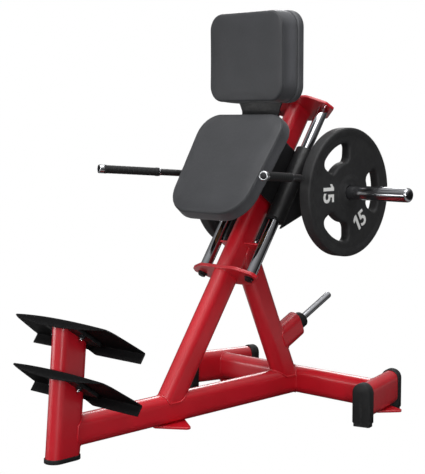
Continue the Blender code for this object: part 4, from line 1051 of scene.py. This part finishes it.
def discShape():
    # each sector is a web with a rounded slot in it; the hub and the rim are turned round all three
    sink = (disc["thickness"] - disc["web"]) / 2
    inner, outer = disc["hub"] + disc["slope"], disc["radius"] - disc["rim"] - disc["slope"]
    shapes, spans = [], []
    edge = disc["slotEdge"]
    for middle, first, last in disc["sectors"]:
        middle, first, last = (math.radians(a) for a in (middle, first, last))
        arc = np.linspace(first, last, disc["arcPoints"] + 1)
        side = np.linspace(inner, outer, disc["sidePoints"] + 1)
        spans.append(arc[:-1])
        border = np.concatenate([
            np.stack([arc[:-1], np.full(len(arc) - 1, inner)], 1),
            np.stack([np.full(len(side) - 1, last), side[:-1]], 1),
            np.stack([arc[:0:-1], np.full(len(arc) - 1, outer)], 1),
            np.stack([np.full(len(side) - 1, first), side[:0:-1]], 1),
        ])

        def polar(loop):
            return np.stack([middle + loop[:, 0] / disc["slotRadius"], disc["slotRadius"] + loop[:, 1]], 1)

        rim = polar(slotLoop(edge))
        rings = [(border + (rim - border) * share, sink) for share in (0, 0.2, 0.4, 0.6, 0.8)]
        for a in np.linspace(0, math.pi / 2, 9):
            rings.append((polar(slotLoop(edge * (1 - math.sin(a)))), sink + edge * (1 - math.cos(a))))
        half = [raised(around(ring[:, 1], ring[:, 0]), height) for ring, height in rings]
        mirrored = [ring * [1, 1, -1] + [0, 0, disc["thickness"]] for ring in half[::-1]]
        points, faces = shell(np.array(half + mirrored))
        shapes.append((points, faces[:-2]))
    angles = np.concatenate(spans)
    bore, middle, bend = disc["bore"], disc["thickness"] / 2, disc["bend"]
    low = [(bore, middle), (bore, 0.0022), (bore + 0.0006, 0.0006), (bore + 0.0022, 0.0)]
    slopes = roundedOutline([
        (0.030, 0, 0), (disc["hub"], 0, bend), (inner, sink, bend), (inner + 0.004, sink, 0)], 6, False)
    inside = np.concatenate([low, slopes[1:-1], [(inner, sink)]])
    inside[:, 0] = np.minimum(inside[:, 0], inner)
    rimStart, top = disc["radius"] - disc["rim"], disc["radius"]
    slopes = roundedOutline([
        (outer - 0.004, sink, 0), (outer, sink, bend), (rimStart, 0, bend), (top, 0, 0.008), (top, middle, 0),
    ], 7, False)
    outside = np.concatenate([[(outer, sink)], slopes[2:]])
    outside[:, 0] = np.maximum(outside[:, 0], outer)
    for profile in (inside, outside):
        back = profile * [1, -1] + [0, disc["thickness"]]
        for half, flip in ((profile, False), (back, True)):
            rings = [raised(around(radius, angles), height) for radius, height in half]
            points, faces = shell(rings[::-1] if flip else rings)
            shapes.append((points, faces[:-2]))
    return joined(*shapes)


def figureOne(height):
    # a stem with a slanted flag, in shares of the figure's height
    corners = [(0.0, 0.0), (0.21, 0.0), (0.21, 1.0), (0.04, 1.0), (-0.20, 0.82), (-0.20, 0.62), (0.0, 0.74)]
    outline = np.array(corners) * height
    return sheetPlate(outline, -disc["numeralHeight"], disc["numeralHeight"], 0.0002, np.eye(4), 1, 0.0005)


def numeralMesh():
    text = bpy.data.curves.new("numeral", "FONT")
    text.body, text.size = disc["numeral"], disc["numeralSize"]
    text.align_x, text.align_y = "CENTER", "CENTER"
    text.extrude, text.offset, text.resolution_u = disc["numeralHeight"], 0.0016, 6
    figure = stood("numeral", text)
    mesh = evaluatedCopy(figure)
    points = np.array([v.co for v in mesh.vertices])
    faces = [list(p.vertices) for p in mesh.polygons]
    bpy.data.objects.remove(figure)
    bpy.data.curves.remove(text)
    low, high = points.min(0), points.max(0)
    one, oneFaces = figureOne(high[1] - low[1])
    one = one + [low[0] - disc["numeralGap"] - one[:, 0].max(), low[1], 0]
    points, faces = joined((points, faces), (one, oneFaces))
    return points - [(one[:, 0].min() + high[0]) / 2, (low[1] + high[1]) / 2, 0], faces


def buildDiscs():
    shape, digits = discShape(), numeralMesh()
    sink = (disc["thickness"] - disc["web"]) / 2
    for sideName, side in sides.items():
        centre = placed([(0, horn["n"], horn["along"])], rail)[0]
        outward = localFrame(centre, (0, 1, 0), (0, 0, side))
        points = placed(shape[0] + [0, 0, disc["start"]], outward)
        piece = makePiece(sideName + "_disc_moulding", (points, shape[1]), "disc", sideName + "_plate",
                          sideName + "_weight_plate", sharp=40)
        facedOutwards(piece.data, merge=2e-6)
        piece.data.set_sharp_from_angle(angle=math.radians(40))
        marks = []
        face = disc["start"] + disc["thickness"] - sink
        for where, lean in disc["numerals"]:
            a, b = math.radians(where) * side, math.radians(lean + 90) * side
            spot = (disc["numeralRadius"] * math.cos(a), disc["numeralRadius"] * math.sin(a), face)
            up = (math.cos(b), math.sin(b), 0)
            across = (up[1], -up[0], 0)
            marks.append(moved(digits, within(outward, spot, across, up)))
        makePiece(sideName + "_disc_numerals", joined(*marks), "numeral", sideName + "_plate")


buildDiscs()
print("stage: weight plates")


# Pads: a crowned form, blown up a little by cloth pressure, then grooved and stitched along its seam

seat = dict(
    low=0.7266, high=1.1316, lowWidth=0.347, highWidth=0.404, lowRadius=0.105, highRadius=0.079,
    thickness=0.060, crown=0.006, n=-0.182, seam=0.0470, edge=0.005, voxel=0.005, swell=0.0045,
    proud=0.007,
)
back = dict(
    low=1.103, high=1.412, width=0.340, radius=0.055, thickness=0.0885, crown=0.005, y=0.9077,
    seam=0.0755, edge=0.004, voxel=0.005, swell=0.0035, proud=0.006,
    shell=dict(depth=0.032, inset=0.002, edge=0.007, seam=0.012),
)
board = dict(inset=0.018, thickness=0.012, edge=0.0015)
# the seat cover's edge, wrapped round the board and stapled under it: (drawn in, height) at the cushion,
# then (drawn in, height under the board)
wrap = dict(
    outside=((0.0055, 0.004), (0.0085, 0.0012), (0.0140, -0.0006), (0.0168, -0.0030), (0.0172, -0.0070)),
    under=((0.0174, 0.0012), (0.0182, 0.0002), (0.0200, -0.0001), (0.0420, -0.0001), (0.0424, 0.0001),
           (0.0300, 0.0002), (0.0184, 0.0012)),
    inside=((0.0178, -0.0020), (0.0100, 0.0030)),
)
seatPlace = within(rail, (0, seat["n"], 0), (1, 0, 0), (0, 0, 1))
backPlace = within(world, (0, back["y"], 0), (1, 0, 0), (0, 0, 1))
filling = dict(shrink=0.0040, pressure=4.0, frames=20, quality=6, bending=0.6, held=0.004)
# the last two: how far in from the outline and how far below the seam the painted lighter side reaches
seam = dict(depth=0.0016, width=0.0022, reach=0.012, paintedLitBand=0.010, paintedLitBandFade=0.003)
piping = dict(radius=0.0009, sunk=0.0003, stitchOffset=0.0045)
thread = dict(length=0.0032, gap=0.0014, radius=0.00042, lift=0.0001)


def seatOutline():
    low, high = seat["lowWidth"] / 2, seat["highWidth"] / 2
    return roundedOutline([
        (-low, seat["low"], seat["lowRadius"]), (low, seat["low"], seat["lowRadius"]),
        (high, seat["high"], seat["highRadius"]), (-high, seat["high"], seat["highRadius"]),
    ], 16)


def backOutline():
    height = back["high"] - back["low"]
    return box2d(back["width"], height, back["radius"], (0, back["low"] + height / 2), 14)


def standingProud(outline, size):
    # the cover's own fullness: the board's outline let out all round
    return outline + outlineNormals(outline) * size["proud"]


def padStart(outline, size):
    # rings (drawn in, height): flat at the board, full at the side, rounded over to a crown
    outline = resampled(outline, 240)
    normals = outlineNormals(outline)
    shrink = filling["shrink"]
    edge = size["thickness"] - size["crown"] - shrink
    rings = [(0.012, 0.0), (0.006, 0.0010), (shrink + 0.0008, 0.006), (shrink - 0.0005, 0.45 * edge)]
    for a in np.linspace(0, math.pi / 2, 7):
        rings.append((shrink + size["edge"] * (1 - math.cos(a)), edge - size["edge"] * (1 - math.sin(a))))
    loops = [raised(outline - normals * inset, height) for inset, height in rings]
    last = loops[-1]
    middle = last.mean(0)
    for share in (0.9, 0.75, 0.55, 0.35, 0.15):
        loop = middle + (last - middle) * share
        loop[:, 2] = edge + size["crown"] * (1 - share ** 2.2)
        loops.append(loop)
    return shell(np.array(loops))


def meshPoints(mesh):
    return readArray(mesh.vertices, "co", np.float32, 3).astype(float)


def evened(mesh, move, held, passes=24):
    # each point's move drawn halfway to its neighbours' mean, again and again: fullness without puckers
    ends = readArray(mesh.edges, "vertices", np.int32, 2)
    both = np.concatenate([ends, ends[:, ::-1]])
    count = np.bincount(both[:, 0], minlength=len(move))[:, None]
    for _ in range(passes):
        total = np.stack([np.bincount(both[:, 0], move[both[:, 1], k], len(move)) for k in range(3)], 1)
        move = (move + total / count) / 2
        move[held] = 0
    return move


def stuffed(name, outline, size):
    points, faces = padStart(outline, size)
    mesh = bpy.data.meshes.new(name)
    mesh.from_pydata(points.tolist(), [], faces)
    piece = stood(name, mesh)
    remesh = piece.modifiers.new("remesh", "REMESH")
    remesh.mode, remesh.voxel_size = "VOXEL", size["voxel"]
    piece.data = evaluatedCopy(piece)
    piece.modifiers.clear()
    start = meshPoints(piece.data)
    held = start[:, 2] < filling["held"]
    pinned = piece.vertex_groups.new(name="board")
    pinned.add(np.flatnonzero(held).tolist(), 1.0, "REPLACE")
    cloth = piece.modifiers.new("cover", "CLOTH")
    cloth.settings.use_pressure, cloth.settings.uniform_pressure_force = True, filling["pressure"]
    cloth.settings.vertex_group_mass = "board"
    cloth.settings.quality, cloth.settings.bending_stiffness = filling["quality"], filling["bending"]
    cloth.settings.effector_weights.gravity = 0.0
    cloth.collision_settings.use_collision = False
    cloth.point_cache.frame_start, cloth.point_cache.frame_end = 1, filling["frames"]
    for number in range(1, filling["frames"] + 1):
        bpy.context.scene.frame_set(number)
    blown = meshPoints(evaluatedCopy(piece))
    piece.modifiers.clear()
    bpy.context.scene.frame_set(1)
    move = blown - start
    length = np.linalg.norm(move, axis=1, keepdims=True)
    move = move * np.minimum(1, size["swell"] / np.maximum(length, 1e-9))
    start = start + evened(piece.data, move, held)
    piece.data.vertices.foreach_set("co", start.astype(np.float32).ravel())
    finer = piece.modifiers.new("finer", "SUBSURF")
    finer.levels = finer.render_levels = 1
    piece.data = evaluatedCopy(piece)
    piece.modifiers.clear()
    return piece


def hullDistance(points, outline):
    # how far inside the outline each point lies, from its nearest outline point and that point's normal
    normals = outlineNormals(outline)
    nearest = np.empty(len(points), int)
    for first in range(0, len(points), 4000):
        chunk = points[first:first + 4000, None, :2] - outline[None]
        nearest[first:first + 4000] = np.argmin((chunk ** 2).sum(-1), 1)
    return -((points[:, :2] - outline[nearest]) * normals[nearest]).sum(1), normals[nearest]


def seamed(piece, outline, height):
    # draws a groove round the side at the seam's height and marks the side below it, where the leather is
    # painted a shade lighter as painted light
    points = meshPoints(piece.data)
    inside, normal = hullDistance(points, resampled(outline, 480))
    near = np.exp(-((points[:, 2] - height) / seam["width"]) ** 2) * np.clip(1 - inside / seam["reach"], 0, 1)
    points[:, :2] -= normal * seam["depth"] * near[:, None]
    piece.data.vertices.foreach_set("co", points.astype(np.float32).ravel())
    # painted light: the side below the seam, fading out above it and inwards from the outline
    paintedLitBand = piece.data.attributes.new("paintedLitBand", "FLOAT", "POINT")
    below = np.clip((height - points[:, 2]) / seam["paintedLitBandFade"], 0, 1)
    share = below * np.clip(1 - inside / seam["paintedLitBand"], 0, 1)
    paintedLitBand.data.foreach_set("value", share.astype(np.float32))


def onSurface(piece, outline, height, lift):
    # the seam's path: rays shot inward from outside the outline at the seam's height
    tree = BVHTree.FromObject(piece, bpy.context.evaluated_depsgraph_get())
    normals = outlineNormals(outline)
    path = []
    for (x, y), (nx, ny) in zip(outline, normals):
        hit = tree.ray_cast(Vector((x + nx * 0.03, y + ny * 0.03, height)), Vector((-nx, -ny, 0)))[0]
        path.append((hit[0] + nx * lift, hit[1] + ny * lift, height) if hit else (x, y, height))
    return np.array(path)


def stitches(path, normals):
    # short spindles of thread laid end to end beside the seam
    count = int(outlineLength(path) / (thread["length"] + thread["gap"]))
    at = resampled(np.concatenate([path, normals], 1), count)
    centres, lifts = at[:, None, :3], raised(at[:, 3:], 0.0)
    runs = unit(np.roll(centres, -1, 0) - np.roll(centres, 1, 0))
    across = np.cross(runs[:, 0], lifts)
    angle = np.linspace(0, turn, 6, endpoint=False)[None, :, None]
    spindle = thread["radius"] * (np.cos(angle) * across[:, None] + np.sin(angle) * lifts[:, None])
    stations = ((-0.5, 0.25), (-0.36, 0.9), (0.36, 0.9), (0.5, 0.25))      # (along, thickness)
    runs = runs * thread["length"]
    rings = np.stack([centres + runs * along + spindle * wide for along, wide in stations], 1)
    return joined(*[shell(ring) for ring in rings])


def finishPad(piece, outline, size, place, node):
    seamed(piece, outline, size["seam"])
    path = onSurface(piece, outline, size["seam"] - piping["stitchOffset"], thread["lift"])
    sewn = stitches(path, outlineNormals(outline))
    makePiece(piece.name + "_stitching", moved(sewn, place), "thread", "carriage")
    welt = swept(onSurface(piece, outline, size["seam"], -piping["sunk"]), circle(piping["radius"], 8), True)
    makePiece(piece.name + "_piping", moved(welt, place), "thread", "carriage")
    piece.data.vertices.foreach_set("co", placed(meshPoints(piece.data), place).astype(np.float32).ravel())
    piece.data.update()
    finished(piece, "leather", "carriage", node, 180, False)


def buildPads():
    for name, outline, size, place, node in (
        ("seat_pad", seatOutline(), seat, seatPlace, "seat_cushion"),
        ("back_pad", backOutline(), back, backPlace, "back_cushion"),
    ):
        outline = standingProud(outline, size)
        finishPad(stuffed(name, outline, size), resampled(outline, 480), size, place, node)
        print("stage:", name)


def buildSeatBoard():
    outline = seatOutline()
    drawn = outline - outlineNormals(outline) * board["inset"]
    low = -machine["gap"] - board["thickness"]
    slab = sheetPlate(drawn, low, -machine["gap"], board["edge"], seatPlace)
    makePiece("seat_board_ply", slab, "ply", "carriage", "seat_board")
    outline = resampled(outline, 300)
    normals = outlineNormals(outline)
    stations = [*wrap["outside"], *[(inset, low + up) for inset, up in wrap["under"]], *wrap["inside"]]
    rings = [raised(outline - normals * inset, height) for inset, height in stations]
    makePiece("seat_wrap", moved(shell(rings[::-1], True), seatPlace), "leather", "carriage", sharp=60)


def buildBackShell():
    size = back["shell"]
    drawn = standingProud(backOutline(), back) - outlineNormals(backOutline()) * size["inset"]
    rear = -machine["gap"] - size["depth"]
    cover = sheetPlate(resampled(drawn, 400), rear, -machine["gap"], size["edge"], backPlace, 6)
    makePiece("back_shell_cover", cover, "shell", "carriage", "back_shell", sharp=60)
    outline = resampled(drawn, 480)
    normals = outlineNormals(outline)
    sewn = stitches(raised(outline + normals * thread["lift"], rear + size["seam"]), normals)
    makePiece("back_shell_stitching", moved(sewn, backPlace), "thread", "carriage")


buildPads()
buildSeatBoard()
buildBackShell()
print("stage: pads")


# Bent strip behind both pads, and the screws that hold them

bracket = dict(n=-0.1694, y=0.9080, low=0.830, high=1.370, width=0.240, neck=0.168, neckHeight=1.055,
               neckLength=0.06, bend=0.040, sheet=0.006, edge=0.0012, screwX=0.075, screwAlong=(0.865, 1.060),
               screw=(0.013, 0.0055))


def onRail(n, along):
    # a point of the rail's middle plane, as (rearward, up) in the machine's own axes
    tilt = math.radians(machine["railTilt"])
    return np.array([machine["railFootY"] + along * math.sin(tilt) + n * math.cos(tilt),
                     along * math.cos(tilt) - n * math.sin(tilt)])


def bracketLine():
    # the strip's front line from its lower end
    tilt = math.radians(machine["railTilt"])
    start = onRail(bracket["n"], bracket["low"])
    rise = (bracket["y"] - machine["railFootY"] - bracket["n"] * math.cos(tilt)) / math.sin(tilt)
    corner = onRail(bracket["n"], rise)
    end = np.array([bracket["y"], bracket["high"]])
    reach = bracket["bend"] * math.tan(tilt / 2)
    run = unit(corner - start)
    bendStart = corner - run * reach
    centre = bendStart + np.array([-run[1], run[0]]) * bracket["bend"]
    angle = math.atan2(*(bendStart - centre)[::-1]) + np.linspace(0, tilt, 14)
    arc = centre + around(bracket["bend"], angle)
    lower = start + (bendStart - start) * np.linspace(0, 1, 24)[:-1, None]
    upper = arc[-1] + (end - arc[-1]) * np.linspace(0, 1, 24)[1:, None]
    return np.concatenate([lower, arc, upper])


def buildBracket():
    line = bracketLine()
    run = unit(np.gradient(line, axis=0))
    rearward = np.stack([run[:, 1], -run[:, 0]], 1)
    near = np.exp(-((line[:, 1] - bracket["neckHeight"]) / bracket["neckLength"]) ** 2)
    half = bracket["width"] / 2 - (bracket["width"] - bracket["neck"]) / 2 * near
    section = roundedOutline([(x, y, bracket["edge"]) for x, y in (
        (-1, 0), (1, 0), (1, bracket["sheet"]), (-1, bracket["sheet"]))], 3)
    rings = []
    for k in range(len(line)):
        across = np.where(section[:, 0] > 0, section[:, 0] - 1 + half[k], section[:, 0] + 1 - half[k])
        flat = line[k] + rearward[k] * section[:, 1:2]
        rings.append(np.concatenate([across[:, None], flat], 1))
    strip = makePiece("pad_bracket_strip", moved(shell(rings), world), "black", "carriage", "pad_bracket")
    facedOutwards(strip.data)
    screws = []
    for side in sides.values():
        for along in bracket["screwAlong"]:
            spot = (side * bracket["screwX"], bracket["n"] + bracket["sheet"], along)
            screws.append(hexHead(within(rail, spot, (1, 0, 0), (0, 0, -1)), *bracket["screw"]))
    makePiece("pad_screws", joined(*screws), "zinc", "carriage")


buildBracket()
print("stage: bracket")


# Handles, grips and their end rings

handle = dict(
    root=0.078, along=0.945, n=-0.120, cornerX=0.269, tip=(0.385, 0.490, 0.870), bend=0.050,
    radius=0.012, grip=0.0155, gripLength=0.212, cap=0.018, collar=0.010, ribs=9, ribStep=0.0009,
    ribDepth=0.0018, ribHalf=0.0022, ringRadius=0.0150, ringLength=0.0045, ringEdge=0.0010,
)


def handleLine():
    # straight out of the carriage, round one bend and on to the grip's end
    root = np.array([handle["root"], *onRail(handle["n"], handle["along"])])
    corner, tip = np.array([handle["cornerX"], *root[1:]]), np.array(handle["tip"])
    inward, outward = unit(root - corner), unit(tip - corner)
    half = math.acos(inward @ outward) / 2
    centre = corner + unit(inward + outward) * handle["bend"] / math.sin(half)
    reach = handle["bend"] / math.tan(half)
    first, last = corner + inward * reach - centre, corner + outward * reach - centre
    sweep = math.pi - 2 * half
    share = np.linspace(0, 1, 22)[:, None]
    arc = centre + (np.sin((1 - share) * sweep) * first + np.sin(share * sweep) * last) / math.sin(sweep)
    start = root + (arc[0] - root) * np.linspace(0, 1, 8)[:-1, None]
    end = arc[-1] + (tip - outward * handle["cap"] - arc[-1]) * np.linspace(0, 1, 14)[1:, None]
    return np.concatenate([start, arc, end]), outward


def gripProfile(inner, low, top):
    # a moulded sleeve: a thick collar at each end and shallow rounded grooves between them
    wide = handle["grip"]
    thin, deep = wide - handle["ribStep"], wide - handle["ribDepth"]
    corners = [(inner, low, 0.0004), (wide, low, 0.002), (wide, low + handle["collar"], 0.001),
               (thin, low + handle["collar"] + 0.002, 0.001)]
    for k in range(1, handle["ribs"] + 1):
        height = low + handle["collar"] + k * (handle["gripLength"] - 0.022) / (handle["ribs"] + 1)
        corners += [(thin, height - handle["ribHalf"], 0.0008), (deep, height, 0.001),
                    (thin, height + handle["ribHalf"], 0.0008)]
    corners += [(thin, top - handle["collar"] - 0.002, 0.001), (wide, top - handle["collar"], 0.001),
                (wide, top, 0.002), (inner, top, 0.0004)]
    return roundedOutline(corners, 3)


def buildHandles():
    line, outward = handleLine()
    gap, pole, wide = machine["gap"], machine["pole"], handle["grip"]
    top, inner = -handle["cap"] - gap, handle["radius"] + 0.0002
    low = top - handle["gripLength"]
    for sideName, side in sides.items():
        mirror = np.array([side, 1, 1])
        tube = swept(placed(line * mirror, world), circle(handle["radius"], 32))
        makePiece(sideName + "_handle_tube", tube, "black", "carriage", sideName + "_handle_bar", worn=False)
        axis = outward * mirror
        sideways = unit(np.cross(axis, (0, 0, 1)))
        place = within(world, handle["tip"] * mirror, sideways, np.cross(axis, sideways))
        makePiece(sideName + "_grip_sleeve", turned(gripProfile(inner, low, top), place, 56, True), "rubber",
                  "carriage", sideName + "_grip")
        under = gap - handle["cap"]
        cap = turnedSolid([(pole, under, 0), (wide, under, 0.0008), (wide, 0, 0.003), (0.0112, 0, 0.001),
                           (0.0108, -0.0012, 0.0005), (pole, -0.0012, 0)], place, 56)
        makePiece(sideName + "_grip_end_ring", cap, "zinc", "carriage", sideName + "_grip_cap")
        plug = turnedSolid([(pole, -0.003, 0), (0.0105, -0.003, 0), (0.0105, -0.0004, 0.0008),
                            (pole, -0.0002, 0)], place, 40)
        makePiece(sideName + "_grip_plug", plug, "blackBolt", "carriage")
        ring = turnedRing(inner, handle["ringRadius"], low - gap - handle["ringLength"], low - gap,
                          handle["ringEdge"], place, 56)
        makePiece(sideName + "_grip_inner_ring", ring, "chrome", "carriage")


buildHandles()
print("stage: handles")


# Studio: pale floor, soft lights and the camera

def softLight(name, energy, size, spot):
    # a rectangular soft box aimed at the machine's middle
    light = bpy.data.lights.new(name, "AREA")
    light.energy = energy
    light.shape, light.size, light.size_y = "RECTANGLE", size[0], size[1]
    lamp = stood(name, light, spot)
    lamp.rotation_mode = "QUATERNION"
    lamp.rotation_quaternion = (Vector(studio["aim"]) - Vector(spot)).to_track_quat("-Z", "Y")


def buildSky():
    # brightness by height for light and reflections, and plain white for the lens
    sky = bpy.data.worlds.new("studio")
    sky.use_nodes = True
    where = addNode(sky, "ShaderNodeTexCoord")
    split = addNode(sky, "ShaderNodeSeparateXYZ", {}, {"Vector": where.outputs["Generated"]})
    gradient = spreadStops(sky, split.outputs["Z"], studio["sky"])
    ray = addNode(sky, "ShaderNodeLightPath")
    seen = addNode(sky, "ShaderNodeMix", {"data_type": "RGBA", 7: (1, 1, 1, 1)}, {
        0: ray.outputs["Is Camera Ray"], 6: gradient,
    })
    dim = sky.node_tree.nodes["Background"]
    dim.inputs["Strength"].default_value = 1.0
    sky.node_tree.links.new(seen.outputs[2], dim.inputs["Color"])
    bpy.context.scene.world = sky


def buildStudio():
    half = studio["floorHalf"]
    mesh = bpy.data.meshes.new("studio_floor")
    mesh.from_pydata([(-half, -half, 0), (half, -half, 0), (half, half, 0), (-half, half, 0)], [],
                     [(0, 1, 2, 3)])
    mesh.materials.append(paleFloor())
    stood("studio_floor", mesh)
    buildSky()
    for light in studio["lights"]:
        softLight(*light)
    bpy.context.scene.view_settings.view_transform = "Standard"
    camera = bpy.data.cameras.new("camera")
    camera.lens, camera.sensor_width = studio["lens"], 36
    eye = stood("camera", camera, studio["eye"])
    eye.rotation_euler = [math.radians(a) for a in studio["look"]]
    bpy.context.scene.camera = eye


studio = dict(
    floorHalf=30, aim=(0, 0, 0.7),
    # (height, brightness) from horizon to zenith
    sky=((0.0, 0.05), (0.3, 0.12), (0.65, 0.40), (1.0, 0.9)),
    # (share of the reach to either side, brightness) of the painted reflection: bands that glow in the floor
    # for mirror rays only
    paintedReflectionBands=((0.0, 0.01), (0.10, 0.02), (0.22, 0.42), (0.34, 0.32), (0.44, 0.03), (1.0, 0.01)), paintedReflectionReach=4.0,
    lights=(("key", 60, (1.8, 1.8), (0.4, -4.6, 2.2)), ("strip", 70, (0.16, 2.6), (3.9, -3.1, 1.5)),
            ("low", 30, (2.4, 1.0), (-2.6, -2.9, 0.40)), ("top", 105, (3.2, 3.2), (0.7, -0.3, 4.0)),
            ("rim", 40, (1.0, 1.6), (-2.2, 3.0, 2.6))),
    lens=92.29, eye=(2.857, -2.937465, 1.043), look=(90 - 5.534, 0, 43.796),
)
buildStudio()
print("stage: studio")
